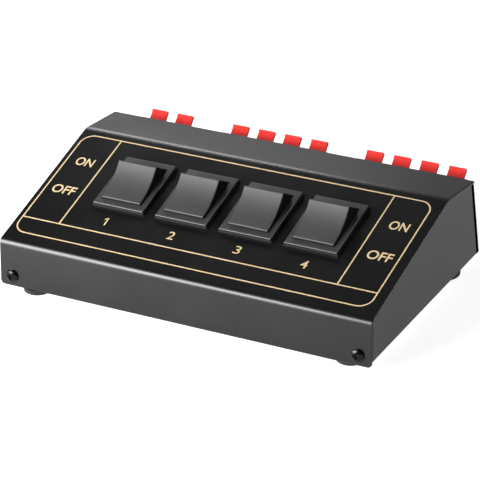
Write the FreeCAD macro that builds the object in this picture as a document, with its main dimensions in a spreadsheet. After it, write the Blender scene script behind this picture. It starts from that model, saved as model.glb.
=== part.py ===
import FreeCAD, Part
import math
import os
import Sketcher

# Loudspeaker selector: a folded steel cover over a base plate, four large rocker switches in the
# sloping panel, and three blocks of push terminals on the rear panel.
#
# Frame: +X runs along the width, -Y is the front, +Z is up. The origin is the middle of the
# footprint, on the surface that the feet stand on. Millimetres and degrees.

DOC = FreeCAD.newDocument("speaker_selector")

# Driving dimensions: name, value, what it is.
SIZES = (
    # Case
    ("case_width", 185.0, "width over the cover"),
    ("cover_sheet", 1.0, "steel of the cover"),
    ("base_sheet", 0.8, "steel of the base plate and the rear panel"),
    ("front_height", 21.1, "height of the front wall, from its lower edge to the fold"),
    ("front_lean", 7.4, "how far the front wall leans back"),
    ("panel_length", 78.4, "length of the sloping panel, fold to ridge"),
    ("panel_slope", 15.2, "rise of the panel"),
    ("band_length", 24.7, "length of the top band, ridge to rear edge"),
    ("band_slope", 6.9, "fall of the top band"),
    ("rear_lean", 5.7, "how far the rear panel leans forward"),
    ("side_skirt", 2.5, "height of the side walls' lower edge over the front wall's"),
    ("fold_radius", 3.0, "outer radius of the fold between front wall and panel"),
    ("ridge_radius", 8.0, "outer radius of the bend between panel and top band"),
    ("edge_radius", 0.5, "rounding of the cover's side edges"),
    ("corner_seam", 0.4, "open seam between the front wall and each side wall"),
    ("lower_corner", 2.0, "rounding of the front wall's lower corners"),
    ("sheet_gap", 0.2, "gap between the cover and the sheets inside it"),
    ("rim_depth", 3.0, "depth of the rear panel's folded rim"),
    ("rim_radius", 1.0, "outer radius of the rear panel's edge"),
    ("flange_height", 9.0, "height of the base plate's flanges"),
    # Feet and screws
    ("foot_drop", 3.0, "how far the feet reach below the front wall"),
    ("foot_radius", 7.0, "radius of a rubber foot's pad"),
    ("foot_taper", 0.4, "how much smaller the pad is at its bottom"),
    ("foot_neck", 5.2, "radius of a foot's neck, over the pad"),
    ("foot_ledge", 0.3, "gap between the pads and the front wall's lower edge"),
    ("foot_left_inset", 15.5, "front left foot, from the case's side"),
    ("foot_right_inset", 13.9, "front right foot, from the case's side"),
    ("foot_rear_inset", 9.0, "rear feet, from the case's sides"),
    ("foot_left_setback", 4.2, "front left foot, behind the front fold"),
    ("foot_right_setback", 6.2, "front right foot, behind the front fold"),
    ("foot_rear_setback", 16.8, "rear feet, in front of the rear panel's foot"),
    ("screw_radius", 1.5, "radius of a screw's shank"),
    ("screw_clearance", 0.1, "radial gap round a screw, a rivet or a plunger"),
    ("screw_head_radius", 3.0, "radius of a pan head"),
    ("screw_head_height", 1.9, "height of a pan head"),
    ("screw_length", 6.0, "length of a screw's shank"),
    ("cover_screw_inset", 6.4, "cover screws, from the case's sides"),
    ("cover_screw_up", 5.0, "cover screws, up from the front wall's lower edge"),
    ("screw_relief", 3.5, "half the width of the base plate's reliefs under the cover screws"),
    ("foot_screw_length", 5.5, "length of a foot screw's shank"),
    ("foot_recess", 2.4, "depth of the recess that takes a foot screw's head"),
    # Rocker switches
    ("switch_pitch", 32.15, "distance between switches"),
    ("switch_shift", -0.5, "switch row, from the case's middle"),
    ("switch_centre", 47.8, "switch centres, up the panel from the fold"),
    ("bezel_width", 25.6, "width of a switch's bezel"),
    ("bezel_length", 31.6, "length of a switch's bezel"),
    ("bezel_height", 1.8, "height of a switch's bezel over the panel"),
    ("bezel_lip_height", 0.6, "height of the lip round the foot of a switch's bezel"),
    ("bezel_lip", 0.35, "how far that lip stands out from the bezel"),
    ("bezel_round", 0.4, "rounding of the bezel's top edge"),
    ("window_width", 20.2, "width of the bezel's window"),
    ("window_length", 25.3, "length of the bezel's window"),
    ("housing_wall", 0.9, "side wall of a switch's housing"),
    ("housing_end_wall", 1.6, "end wall of a switch's housing"),
    ("housing_floor", 1.5, "floor of a switch's housing"),
    ("housing_depth", 17.4, "depth of a switch's housing below the panel"),
    ("cutout_gap", 0.2, "gap between a switch's housing and its cut-out"),
    ("snap_reach", 0.9, "how far a switch's snap ears stand out under the panel"),
    ("rocker_swing", 35.6, "angle between a rocker's two positions"),
    ("rocker_pivot", 4.1, "depth of a rocker's pivot below the panel"),
    ("rocker_half", 9.6, "half the length of a rocker's top face"),
    ("rocker_top", 10.5, "height of a rocker's top edges over its pivot"),
    ("rocker_dip", 1.6, "depth of the hollow in a rocker's top face"),
    ("rocker_round", 0.5, "rounding of a rocker's top edges"),
    ("rocker_gap", 0.3, "gap between a rocker's cheeks and the window"),
    ("rocker_skin", 1.5, "wall of a rocker"),
    ("rocker_skirt", 6.67, "height of a rocker's flat end faces"),
    ("skirt_turn", 14.0, "how far a rocker's round skirts reach below its pivot's level"),
    ("pivot_radius", 1.4, "radius of a rocker's pivot pins"),
    ("pivot_fit", 0.05, "radial play of every pivot pin"),
    ("pole_spread", 10.0, "distance between a switch's two poles"),
    ("plunger_radius", 1.2, "radius of a spring plunger"),
    ("plunger_tip", 8.5, "plunger tips, below the rocker's pivot"),
    ("plunger_length", 7.5, "length of a plunger"),
    ("plunger_spring_length", 5.0, "length of a plunger's spring"),
    ("sleeve_wall", 0.9, "wall of the sleeves that hold the plungers"),
    ("blade_length", 16.0, "length of a contact blade"),
    ("blade_width", 4.0, "width of a contact blade"),
    ("blade_thick", 0.8, "thickness of a contact blade"),
    ("blade_depth", 13.3, "depth of the blades' pivot below the panel"),
    ("blade_swing", 12.0, "angle that a contact blade tips through"),
    ("button_radius", 1.2, "radius of a contact button"),
    ("button_height", 0.8, "height of a contact button"),
    ("contact_gap", 0.27, "gap left under a closed button, and over the knife edges"),
    ("tab_width", 6.3, "width of a switch's solder tabs"),
    ("tab_thick", 0.8, "thickness of a switch's solder tabs"),
    ("tab_gap", 0.1, "gap round a solder tab in the housing's floor"),
    ("tab_length", 9.0, "length of a solder tab outside the housing"),
    ("throw_distance", 7.0, "fixed contacts, from the blades' pivot"),
    # Terminal blocks
    ("lever_pitch", 13.6, "distance between levers"),
    ("input_x", -66.9, "middle of the input block"),
    ("output_a_x", -9.9, "middle of the first output block"),
    ("output_b_x", 59.2, "middle of the second output block"),
    ("block_ear", 4.2, "ears at the ends of a block"),
    ("block_height", 30.0, "height of a block"),
    ("ear_thick", 2.0, "thickness of a block's ears"),
    ("block_front", 5.5, "how far a block stands out of the rear panel"),
    ("block_round", 1.2, "rounding of a block's long front edges"),
    ("block_back", 5.0, "how far a block reaches into the case"),
    ("block_back_half", 12.6, "half the height of a block's part inside the case"),
    ("block_step", 0.4, "how much narrower a block's body is than its row of levers"),
    ("face_wall", 2.0, "wall at a block's face"),
    ("cell_gap", 0.3, "gap between a lever and its cell"),
    ("lever_width", 8.2, "width of a lever"),
    ("lever_thick", 1.3, "thickness of a lever's paddle"),
    ("lever_lip", 0.35, "height of the lip across a paddle's tip"),
    ("lip_width", 0.7, "width of that lip"),
    ("grip_pitch", 0.95, "distance between the grip grooves across a paddle"),
    ("grip_depth", 0.25, "depth of the grip grooves"),
    ("lever_reach", 10.75, "length of a lever's paddle from its pivot"),
    ("lever_angle", 38.6, "angle of a released paddle from the block's face normal"),
    ("lever_swing", 24.0, "angle that a lever is pressed through"),
    ("lever_pivot_out", 2.6, "levers' pivots, out from the rear panel"),
    ("lever_pivot_up", 9.2, "levers' pivots, from the block's middle line"),
    ("lever_leg", 7.2, "length of a lever's inner leg"),
    ("leg_thick", 1.3, "thickness of a lever's inner leg"),
    ("leg_offset", 0.4, "front of the inner leg, from the pivot"),
    ("stub_radius", 1.0, "radius of a lever's pivot stubs"),
    ("stub_length", 0.9, "length of a lever's pivot stubs"),
    ("wire_radius", 1.7, "radius of a wire entry"),
    ("wire_up", 4.6, "wire entries, from the block's middle line"),
    ("wire_lead_in", 0.8, "countersink of a wire entry"),
    ("clip_width", 6.0, "width of a contact clip"),
    ("clip_thick", 0.6, "thickness of a contact clip"),
    ("clip_depth", 1.6, "front of a contact clip, inward from the rear panel"),
    ("clip_tail", 7.0, "solder tail of a contact clip beyond the block"),
    ("rivet_radius", 1.4, "radius of a block rivet's shank"),
    ("rivet_head_radius", 1.9, "radius of a block rivet's head"),
    ("rivet_head_height", 0.8, "height of a block rivet's head"),
    ("rear_screw_up", 3.6, "rear screws, up from the rear panel's lower edge"),
    # Wiring
    ("lead_radius", 0.8, "radius of an insulated inner wire"),
    ("bus_radius", 0.6, "radius of the bare return bus"),
    ("wire_gap", 0.3, "gap between a wire and the tab it is soldered to"),
    ("lead_height", 1.6, "lower run of the output leads, over the base plate"),
    ("lead_rise", 16.0, "length over which the inner leads rise to the blocks"),
    ("lead_end", 6.0, "last straight run of an inner lead"),
)

SHEET = DOC.addObject("Spreadsheet::Sheet", "Sizes")
for row, (alias, value, meaning) in enumerate(SIZES, start=1):
    SHEET.set(f"A{row}", meaning)
    SHEET.set(f"B{row}", str(value))
    SHEET.setAlias(f"B{row}", alias)
DOC.recompute()

V = FreeCAD.Vector
X_AXIS = V(1, 0, 0)
Z_AXIS = V(0, 0, 1)
NODES = []


# ---- Sizes that carry their sheet expression ----------------------------------------------


class Size:
    """A number together with the sheet expression that it comes from."""

    def __init__(self, value, text):
        self.value = value
        self.text = text

    @staticmethod
    def of(other):
        return other if isinstance(other, Size) else Size(float(other), f"({float(other)})")

    def __add__(self, other):
        other = Size.of(other)
        return Size(self.value + other.value, f"({self.text} + {other.text})")

    def __sub__(self, other):
        other = Size.of(other)
        return Size(self.value - other.value, f"({self.text} - {other.text})")

    def __mul__(self, other):
        other = Size.of(other)
        return Size(self.value * other.value, f"({self.text} * {other.text})")

    def __truediv__(self, other):
        other = Size.of(other)
        return Size(self.value / other.value, f"({self.text} / {other.text})")

    def __neg__(self):
        return Size.of(0) - self

    def __radd__(self, other):
        return Size.of(other) + self

    def __rsub__(self, other):
        return Size.of(other) - self

    def __rmul__(self, other):
        return Size.of(other) * self


def size(alias):
    return Size(float(SHEET.get(alias)), f"Sizes.{alias}")


def sine(angle):
    return Size(math.sin(math.radians(angle.value)), f"sin({angle.text})")


def cosine(angle):
    return Size(math.cos(math.radians(angle.value)), f"cos({angle.text})")


def tangent(angle):
    return sine(angle) / cosine(angle)


def bind(thing, prop, amount):
    thing.setExpression(prop, Size.of(amount).text)


# ---- Sketches and features ----------------------------------------------------------------


def new_body(name):
    return DOC.addObject("PartDesign::Body", name)


def new_sketch(body, name, plane, lift=None, tilt=None):
    """A sketch on one of the body's own planes, lifted along its normal or tilted about X."""
    sketch = body.newObject("Sketcher::SketchObject", name)
    support = next(item for item in body.Origin.OriginFeatures if item.Role == plane)
    sketch.AttachmentSupport = [(support, "")]
    sketch.MapMode = "FlatFace"
    if tilt is not None:
        sketch.AttachmentOffset = FreeCAD.Placement(V(), FreeCAD.Rotation(X_AXIS, tilt.value))
        bind(sketch, "AttachmentOffset.Rotation.Angle", tilt)
    if lift is not None:
        bind(sketch, "AttachmentOffset.Base.z", lift)
    return sketch


def pin_point(sketch, geometry, end, x, y):
    for kind, amount in (("DistanceX", Size.of(x)), ("DistanceY", Size.of(y))):
        constraint = Sketcher.Constraint(kind, -1, 1, geometry, end, amount.value)
        index = sketch.addConstraint(constraint)
        sketch.setExpression(f"Constraints[{index}]", amount.text)


def draw_polygon(sketch, corners):
    first = sketch.GeometryCount
    count = len(corners)
    spots = [V(Size.of(x).value, Size.of(y).value, 0) for x, y in corners]
    for i in range(count):
        sketch.addGeometry(Part.LineSegment(spots[i], spots[(i + 1) % count]), False)
    for i in range(count):
        following = first + (i + 1) % count
        sketch.addConstraint(Sketcher.Constraint("Coincident", first + i, 2, following, 1))
    for i, (x, y) in enumerate(corners):
        pin_point(sketch, first + i, 1, x, y)


def draw_rectangle(sketch, low_x, low_y, high_x, high_y):
    draw_polygon(sketch, [(low_x, low_y), (high_x, low_y), (high_x, high_y), (low_x, high_y)])


def draw_circle(sketch, x, y, radius):
    centre = V(Size.of(x).value, Size.of(y).value, 0)
    index = sketch.addGeometry(Part.Circle(centre, Z_AXIS, Size.of(radius).value), False)
    pin_point(sketch, index, 3, x, y)
    constraint = sketch.addConstraint(Sketcher.Constraint("Radius", index, Size.of(radius).value))
    sketch.setExpression(f"Constraints[{constraint}]", Size.of(radius).text)


def pad(body, name, sketch, length, both_ways=False, reverse=False):
    feature = body.newObject("PartDesign::Pad", name)
    feature.Profile = sketch
    feature.Midplane = both_ways
    feature.Reversed = reverse
    bind(feature, "Length", length)
    return feature


def pocket(body, name, sketch, length, both_ways=True, reverse=False):
    feature = body.newObject("PartDesign::Pocket", name)
    feature.Profile = sketch
    feature.Midplane = both_ways
    feature.Reversed = reverse
    bind(feature, "Length", length)
    return feature


def turn(body, name, sketch):
    """Revolves a sketch of the XZ plane about the body's Z axis."""
    axis = next(item for item in body.Origin.OriginFeatures if item.Role == "Z_Axis")
    feature = body.newObject("PartDesign::Revolution", name)
    feature.Profile = sketch
    feature.ReferenceAxis = (axis, [""])
    feature.Angle = 360.0
    return feature


def dress(body, kind, name, amount, wanted):
    """Rounds or chamfers every edge of the body for which wanted(edge) holds."""
    DOC.recompute()
    tip = body.Tip
    edges = [f"Edge{i}" for i, edge in enumerate(tip.Shape.Edges, start=1) if wanted(edge)]
    feature = body.newObject(f"PartDesign::{kind}", name)
    feature.Base = (tip, edges)
    bind(feature, "Radius" if kind == "Fillet" else "Size", amount)
    return feature


def place(x=0.0, y=0.0, z=0.0, tilt=0.0):
    """A placement from Sizes or numbers; tilt turns about X."""
    spot = V(*(Size.of(amount).value for amount in (x, y, z)))
    return FreeCAD.Placement(spot, FreeCAD.Rotation(X_AXIS, Size.of(tilt).value))


def node(label, thing, placement):
    """Registers a finished sub-part under the name of its file."""
    thing.Label = label
    thing.Placement = placement
    NODES.append(thing)


def group(name, items):
    """One object of several separate solids: (object, placement in the group) each."""
    links = []
    for number, (item, placement) in enumerate(items, start=1):
        link = DOC.addObject("App::Link", f"{name}_{number}")
        link.LinkedObject = item
        link.LinkPlacement = placement
        links.append(link)
    compound = DOC.addObject("Part::Compound", name)
    compound.Links = links
    return compound


def repeat(label, item, placement):
    """A sub-part of its own that has the shape of another body."""
    node(label, group(f"{label}_copy", [(item, place())]), placement)


def along_x(edge, y, z, near=0.05):
    """Whether an edge runs along X through (y, z)."""
    box = edge.BoundBox
    straight = box.YLength < near and box.ZLength < near
    return straight and abs(box.Center.y - y.value) < near and abs(box.Center.z - z.value) < near


# ---- Named sizes and the case's outline -----------------------------------------------------

half_width = size("case_width") / 2
sheet = size("cover_sheet")
base_sheet = size("base_sheet")
skirt = size("side_skirt")
gap = size("sheet_gap")
front_angle = 90 - size("front_lean")
panel_angle = size("panel_slope")
band_angle = -size("band_slope")
rear_angle = -(90 - size("rear_lean"))

# Corners of the outline seen from the side, (y, z) from the fold's foot: y = 0 is the front fold
# and z = 0 the front wall's lower edge.
fold = (Size.of(0), size("front_height"))
front_foot = (-size("front_height") * tangent(size("front_lean")), Size.of(0))
ridge = (
    fold[0] + size("panel_length") * cosine(panel_angle),
    fold[1] + size("panel_length") * sine(panel_angle),
)
rear_top = (
    ridge[0] + size("band_length") * cosine(band_angle),
    ridge[1] + size("band_length") * sine(band_angle),
)
rear_length = (rear_top[1] - skirt) / cosine(size("rear_lean"))
rear_foot = (rear_top[0] + rear_length * sine(size("rear_lean")), skirt)


def inset(corner, angle_in, angle_out, depth):
    """The corner of an outline moved inward by depth; the outline runs clockwise."""
    share = depth / (1 + cosine(angle_in - angle_out))
    return (
        corner[0] + share * (sine(angle_in) + sine(angle_out)),
        corner[1] - share * (cosine(angle_in) + cosine(angle_out)),
    )


def on_line(corner, angle, z):
    """The point at height z on the line through a corner at an angle."""
    return (corner[0] + (z - corner[1]) / tangent(angle), z)


# The footprint's middle: the cover screws' heads are the foremost points, the lower levers' tips
# the rearmost.
lever_world_angle = size("lever_angle") - size("rear_lean")
foremost = (
    front_foot[0]
    + size("cover_screw_up") * sine(size("front_lean"))
    - size("screw_head_height") * cosine(size("front_lean"))
)
rearmost = (
    (rear_top[0] + rear_foot[0]) / 2
    + size("lever_pivot_up") * sine(size("rear_lean"))
    + size("lever_pivot_out") * cosine(size("rear_lean"))
    + size("lever_reach") * cosine(lever_world_angle)
    + size("lever_thick") / 2 * sine(lever_world_angle)
)
depth_middle = (foremost + rearmost) / 2

CASE = place(y=-depth_middle, z=size("foot_drop"))
FRONT_WALL = CASE * place(0, fold[0], fold[1], tilt=front_angle)
REAR = CASE * place(
    0,
    (rear_top[0] + rear_foot[0]) / 2,
    (rear_top[1] + rear_foot[1]) / 2,
    tilt=rear_angle,
)
PANEL = CASE * place(0, fold[0], fold[1], tilt=panel_angle)

SWITCH_XS = [size("switch_shift") + (i - 1.5) * size("switch_pitch") for i in range(4)]
COVER_SCREW_XS = [side * (half_width - size("cover_screw_inset")) for side in (-1, 1)]
COVER_SCREW_Y = size("cover_screw_up") - size("front_height") / cosine(size("front_lean"))
foot_rear_x = half_width - size("foot_rear_inset")
foot_rear_y = rear_foot[0] - size("foot_rear_setback")
FEET = (
    (size("foot_left_inset") - half_width, size("foot_left_setback")),
    (half_width - size("foot_right_inset"), size("foot_right_setback")),
    (-foot_rear_x, foot_rear_y),
    (foot_rear_x, foot_rear_y),
)
screw_hole = size("screw_radius") + size("screw_clearance")

housing_width = size("window_width") + 2 * size("housing_wall")
housing_length = size("window_length") + 2 * size("housing_end_wall")
cutout_width = housing_width + 2 * size("cutout_gap")
cutout_length = housing_length + 2 * size("cutout_gap")

BLOCKS = (
    ("input", size("input_x"), 2),
    ("output_a", size("output_a_x"), 4),
    ("output_b", size("output_b_x"), 4),
)


def block_half(columns):
    """Half the width of a block without its ears."""
    return columns * size("lever_pitch") / 2


# The rear screws stand midway between neighbouring blocks.
REAR_SCREW_XS = [
    (left[1] + block_half(left[2]) + right[1] - block_half(right[2])) / 2
    for left, right in zip(BLOCKS, BLOCKS[1:])
]
REAR_SCREW_Y = rear_length / 2 - size("rear_screw_up")


# ---- Case -----------------------------------------------------------------------------------


def make_cover():
    body = new_body("cover_body")
    outline = new_sketch(body, "outline", "YZ_Plane")
    lower_rear = on_line(rear_top, 90 + size("rear_lean"), skirt)
    behind_front = inset(fold, front_angle, front_angle, sheet)
    draw_polygon(
        outline,
        [
            front_foot, fold, ridge, rear_top, lower_rear,
            on_line(behind_front, front_angle, skirt),
            on_line(behind_front, front_angle, Size.of(0)),
        ],
    )
    pad(body, "block_out", outline, size("case_width"), both_ways=True)

    def lower_corner(edge):
        box = edge.BoundBox
        outside = box.XLength < 0.01 and abs(abs(box.Center.x) - half_width.value) < 0.01
        return outside and abs(box.ZMax) < 0.01

    dress(body, "Fillet", "lower_corners", size("lower_corner"), lower_corner)

    dress(body, "Fillet", "front_fold", size("fold_radius"), lambda edge: along_x(edge, *fold))
    dress(body, "Fillet", "ridge_bend", size("ridge_radius"), lambda edge: along_x(edge, *ridge))

    def side_edge(edge):
        box = edge.BoundBox
        outside = box.XLength < 0.01 and abs(abs(box.Center.x) - half_width.value) < 0.01
        behind_foot = box.Center.y < rear_top[0].value - 0.5
        return outside and box.ZMin > -0.01 and behind_foot and box.Center.z > skirt.value + 1

    dress(body, "Fillet", "side_edges", size("edge_radius"), side_edge)

    inner_fold = inset(fold, front_angle, panel_angle, sheet)
    inner_ridge = inset(ridge, panel_angle, band_angle, sheet)
    beyond = 5 * sheet
    inner_rear = (
        inner_ridge[0] + (size("band_length") + beyond) * cosine(band_angle),
        inner_ridge[1] + (size("band_length") + beyond) * sine(band_angle),
    )
    inside = new_sketch(body, "inside", "YZ_Plane")
    draw_polygon(
        inside,
        [
            on_line(inner_fold, front_angle, -sheet),
            inner_fold,
            inner_ridge,
            inner_rear,
            (rear_foot[0] + beyond, -sheet),
        ],
    )
    pocket(body, "hollow", inside, size("case_width") - 2 * sheet)
    dress(
        body, "Fillet", "inner_fold", size("fold_radius") - sheet,
        lambda edge: along_x(edge, *inner_fold),
    )
    dress(
        body, "Fillet", "inner_ridge", size("ridge_radius") - sheet,
        lambda edge: along_x(edge, *inner_ridge),
    )

    # The side walls stop short of the rear edge by the depth of the rear panel's rim.
    step = size("rim_depth") + gap
    step_top = (
        rear_top[0] - step * cosine(size("rear_lean")),
        rear_top[1] - step * sine(size("rear_lean")),
    )
    step_line = 90 + size("rear_lean")
    under_band = inner_ridge[1] + (step_top[0] - inner_ridge[0]) * tangent(band_angle)
    rear_step = new_sketch(body, "rear_step", "YZ_Plane")
    draw_polygon(
        rear_step,
        [
            (step_top[0] + (step_top[1] - under_band) * tangent(size("rear_lean")), under_band),
            inner_rear,
            (rear_foot[0] + beyond, -sheet),
            on_line(step_top, step_line, -sheet),
        ],
    )
    pocket(body, "rear_edges", rear_step, size("case_width") * 2)

    # Open seams at the front corners.
    seam_top = fold[1] - size("fold_radius")
    seam = new_sketch(body, "seam", "YZ_Plane")
    near = inset(fold, front_angle, front_angle, sheet)
    far = inset(fold, front_angle, front_angle, sheet + size("corner_seam"))
    draw_polygon(
        seam,
        [
            on_line(near, front_angle, -sheet),
            on_line(near, front_angle, seam_top),
            on_line(far, front_angle, seam_top),
            on_line(far, front_angle, -sheet),
        ],
    )
    pocket(body, "corner_seams", seam, size("case_width") * 2)

    windows = new_sketch(body, "windows", "XY_Plane", lift=fold[1], tilt=panel_angle)
    for x in SWITCH_XS:
        draw_rectangle(
            windows,
            x - cutout_width / 2,
            size("switch_centre") - cutout_length / 2,
            x + cutout_width / 2,
            size("switch_centre") + cutout_length / 2,
        )
    pocket(body, "cutouts", windows, 6 * sheet)

    holes = new_sketch(body, "screw_holes", "XY_Plane", lift=fold[1], tilt=front_angle)
    for x in COVER_SCREW_XS:
        draw_circle(holes, x, COVER_SCREW_Y, screw_hole)
    pocket(body, "front_holes", holes, 6 * sheet)

    node("cover", body, CASE)


def rear_panel_sketch(body, name):
    """A sketch of the case's frame that lies in the rear panel's outer face."""
    sketch = new_sketch(body, name, "XY_Plane", tilt=rear_angle)
    bind(sketch, "AttachmentOffset.Base.y", (rear_top[0] + rear_foot[0]) / 2)
    bind(sketch, "AttachmentOffset.Base.z", (rear_top[1] + rear_foot[1]) / 2)
    return sketch


def make_base_plate():
    body = new_body("base_plate_body")
    front = inset(fold, front_angle, front_angle, sheet + gap)
    rear = inset(rear_top, rear_angle, rear_angle, base_sheet + gap)
    inner_front = inset(fold, front_angle, front_angle, sheet + gap + base_sheet)
    inner_rear = inset(rear_top, rear_angle, rear_angle, 2 * base_sheet + gap)
    flange_top = skirt + size("flange_height")
    profile = new_sketch(body, "profile", "YZ_Plane")
    draw_polygon(
        profile,
        [
            on_line(front, front_angle, skirt),
            on_line(front, front_angle, flange_top),
            on_line(inner_front, front_angle, flange_top),
            on_line(inner_front, front_angle, skirt + base_sheet),
            on_line(inner_rear, rear_angle, skirt + base_sheet),
            on_line(inner_rear, rear_angle, flange_top),
            on_line(rear, rear_angle, flange_top),
            on_line(rear, rear_angle, skirt),
        ],
    )
    pad(body, "plate", profile, size("case_width") - 2 * (sheet + gap), both_ways=True)

    holes = new_sketch(body, "foot_holes", "XY_Plane", lift=skirt)
    for x, y in FEET:
        draw_circle(holes, x, y, screw_hole)
    pocket(body, "foot_screw_holes", holes, 4 * base_sheet)

    front_holes = new_sketch(body, "front_holes", "XY_Plane", lift=fold[1], tilt=front_angle)
    for x in COVER_SCREW_XS:
        draw_circle(front_holes, x, COVER_SCREW_Y, screw_hole)
    pocket(body, "cover_screw_holes", front_holes, 8 * sheet)

    rear_holes = rear_panel_sketch(body, "rear_holes")
    for x in REAR_SCREW_XS:
        draw_circle(rear_holes, x, REAR_SCREW_Y, screw_hole)
    pocket(body, "rear_screw_holes", rear_holes, 8 * base_sheet)

    notches = rear_panel_sketch(body, "notches")
    for low_x, low_y, high_x, high_y in block_openings():
        draw_rectangle(notches, low_x, low_y, high_x, high_y)
    pocket(body, "block_notches", notches, 8 * base_sheet)

    reliefs = new_sketch(body, "reliefs", "XY_Plane", lift=skirt)
    relief = size("screw_relief")
    behind_flange = on_line(inner_front, front_angle, skirt + base_sheet)[0]
    behind_tip = foremost + size("screw_head_height") + size("screw_length") + size("screw_clearance")
    for x in COVER_SCREW_XS:
        draw_rectangle(reliefs, x - relief, behind_flange, x + relief, behind_tip)
    pocket(body, "screw_reliefs", reliefs, 4 * base_sheet)
    node("base_plate", body, CASE)


def make_rear_panel():
    """The panel lies in its own frame: y runs down it and z points out of the case."""
    body = new_body("rear_panel_body")
    top = -rear_length / 2 + sheet / cosine(size("rear_lean") + size("band_slope")) + gap
    foot = rear_length / 2
    plate = new_sketch(body, "plate", "XY_Plane")
    draw_rectangle(plate, -half_width, top, half_width, foot)
    pad(body, "slab", plate, size("rim_depth"), reverse=True)
    dress(
        body, "Fillet", "edge", size("rim_radius"),
        lambda edge: abs(edge.BoundBox.ZMin) < 0.01 and abs(edge.BoundBox.ZMax) < 0.01,
    )
    inside = new_sketch(body, "inside", "XY_Plane", lift=-base_sheet)
    draw_rectangle(
        inside,
        -half_width + base_sheet,
        top + base_sheet,
        half_width - base_sheet,
        foot + base_sheet,
    )
    pocket(body, "hollow", inside, size("rim_depth"), both_ways=False)

    openings = new_sketch(body, "openings", "XY_Plane")
    for low_x, low_y, high_x, high_y in block_openings():
        draw_rectangle(openings, low_x, low_y, high_x, high_y)
    pocket(body, "block_openings", openings, 6 * base_sheet)

    holes = new_sketch(body, "holes", "XY_Plane")
    for x in REAR_SCREW_XS:
        draw_circle(holes, x, REAR_SCREW_Y, screw_hole)
    for x, y in rivet_spots():
        draw_circle(holes, x, y, size("rivet_radius") + size("screw_clearance"))
    pocket(body, "round_holes", holes, 6 * base_sheet)
    node("rear_panel", body, REAR)


def block_openings():
    """The rear panel's openings, as (low x, low y, high x, high y) in its own frame."""
    reach = size("block_back_half") + gap
    openings = []
    for _, x, columns in BLOCKS:
        half = block_half(columns) - size("block_step") / 2 + gap
        openings.append((x - half, -reach, x + half, reach))
    return openings


def rivet_spots():
    """Rivets sit in the middle of each block's ears."""
    spots = []
    for _, x, columns in BLOCKS:
        reach = block_half(columns) + size("block_ear") / 2
        spots += [(x - reach, Size.of(0)), (x + reach, Size.of(0))]
    return spots


# ---- Screws, rivets and feet ------------------------------------------------------------------


def make_screw(name, length):
    """A pan-head screw with a cross recess: the head's seat is z = 0 and the head points to +z."""
    body = new_body(name)
    head = size("screw_head_radius")
    height = size("screw_head_height")
    profile = new_sketch(body, "profile", "XZ_Plane")
    draw_polygon(
        profile,
        [
            (0, -length),
            (size("screw_radius") * 0.6, -length),
            (size("screw_radius"), -length + size("screw_radius") * 0.6),
            (size("screw_radius"), 0),
            (head, 0),
            (head, height * 0.35),
            (head * 0.86, height * 0.75),
            (head * 0.55, height),
            (0, height),
        ],
    )
    turn(body, "shape", profile)
    recess = new_sketch(body, "recess", "XY_Plane", lift=height)
    arm = head * 0.56
    slot = head * 0.12
    draw_polygon(
        recess,
        [
            (arm, slot), (slot, slot), (slot, arm), (-slot, arm), (-slot, slot), (-arm, slot),
            (-arm, -slot), (-slot, -slot), (-slot, -arm), (slot, -arm), (slot, -slot), (arm, -slot),
        ],
    )
    pocket(body, "cross", recess, height * 0.6, both_ways=False)
    return body


def make_screws():
    case_screw = make_screw("case_screw", size("screw_length"))
    foot_screw = make_screw("foot_screw", size("foot_screw_length"))
    front = group("cover_screw_pair", [(case_screw, place(x, COVER_SCREW_Y)) for x in COVER_SCREW_XS])
    node("cover_screws", front, FRONT_WALL)
    rear = group("rear_screw_pair", [(case_screw, place(x, REAR_SCREW_Y)) for x in REAR_SCREW_XS])
    node("rear_screws", rear, REAR)
    seat = size("foot_recess") - size("foot_drop")
    upside_down = 180
    under = [(foot_screw, place(x, y, seat, tilt=upside_down)) for x, y in FEET]
    node("foot_screws", group("foot_screw_set", under), CASE)


def make_feet():
    body = new_body("foot_body")
    height = skirt + size("foot_drop")
    pad_height = size("foot_drop") - size("foot_ledge")
    profile = new_sketch(body, "profile", "XZ_Plane")
    wide = size("foot_radius")
    narrow = wide - size("foot_taper")
    recess = size("screw_head_radius") + size("screw_clearance") * 4
    seat = size("foot_recess")
    draw_polygon(
        profile,
        [
            (screw_hole, height),
            (size("foot_neck"), height),
            (size("foot_neck"), pad_height),
            (wide, pad_height),
            (narrow + size("foot_taper") * 0.3, size("foot_taper")),
            (narrow - size("foot_taper"), 0),
            (recess, 0),
            (recess, seat),
            (screw_hole, seat),
        ],
    )
    turn(body, "shape", profile)
    feet = group("foot_set", [(body, place(x, y, -size("foot_drop"))) for x, y in FEET])
    node("rubber_feet", feet, CASE)


def make_rivets():
    """Hollow-head rivets: heads on the ears, closed heads behind the rear panel."""
    body = new_body("rivet_body")
    ear = size("ear_thick")
    head = size("rivet_head_radius")
    height = size("rivet_head_height")
    shank = size("rivet_radius")
    profile = new_sketch(body, "profile", "XZ_Plane")
    draw_polygon(
        profile,
        [
            (0, -base_sheet - height),
            (head * 0.9, -base_sheet - height),
            (head * 0.9, -base_sheet),
            (shank, -base_sheet),
            (shank, ear),
            (head, ear),
            (head, ear + height * 0.4),
            (head * 0.7, ear + height),
            (0, ear + height),
        ],
    )
    turn(body, "shape", profile)
    node("block_rivets", group("rivet_set", [(body, place(x, y)) for x, y in rivet_spots()]), REAR)


# ---- Rocker switches ----------------------------------------------------------------------------
# A switch's frame lies on the panel: x along the width, y up the panel, z out of it.

TAB_EYE_SHARE = 0.35  # height of a tab's solder eye, as a share of the tab's length


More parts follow.
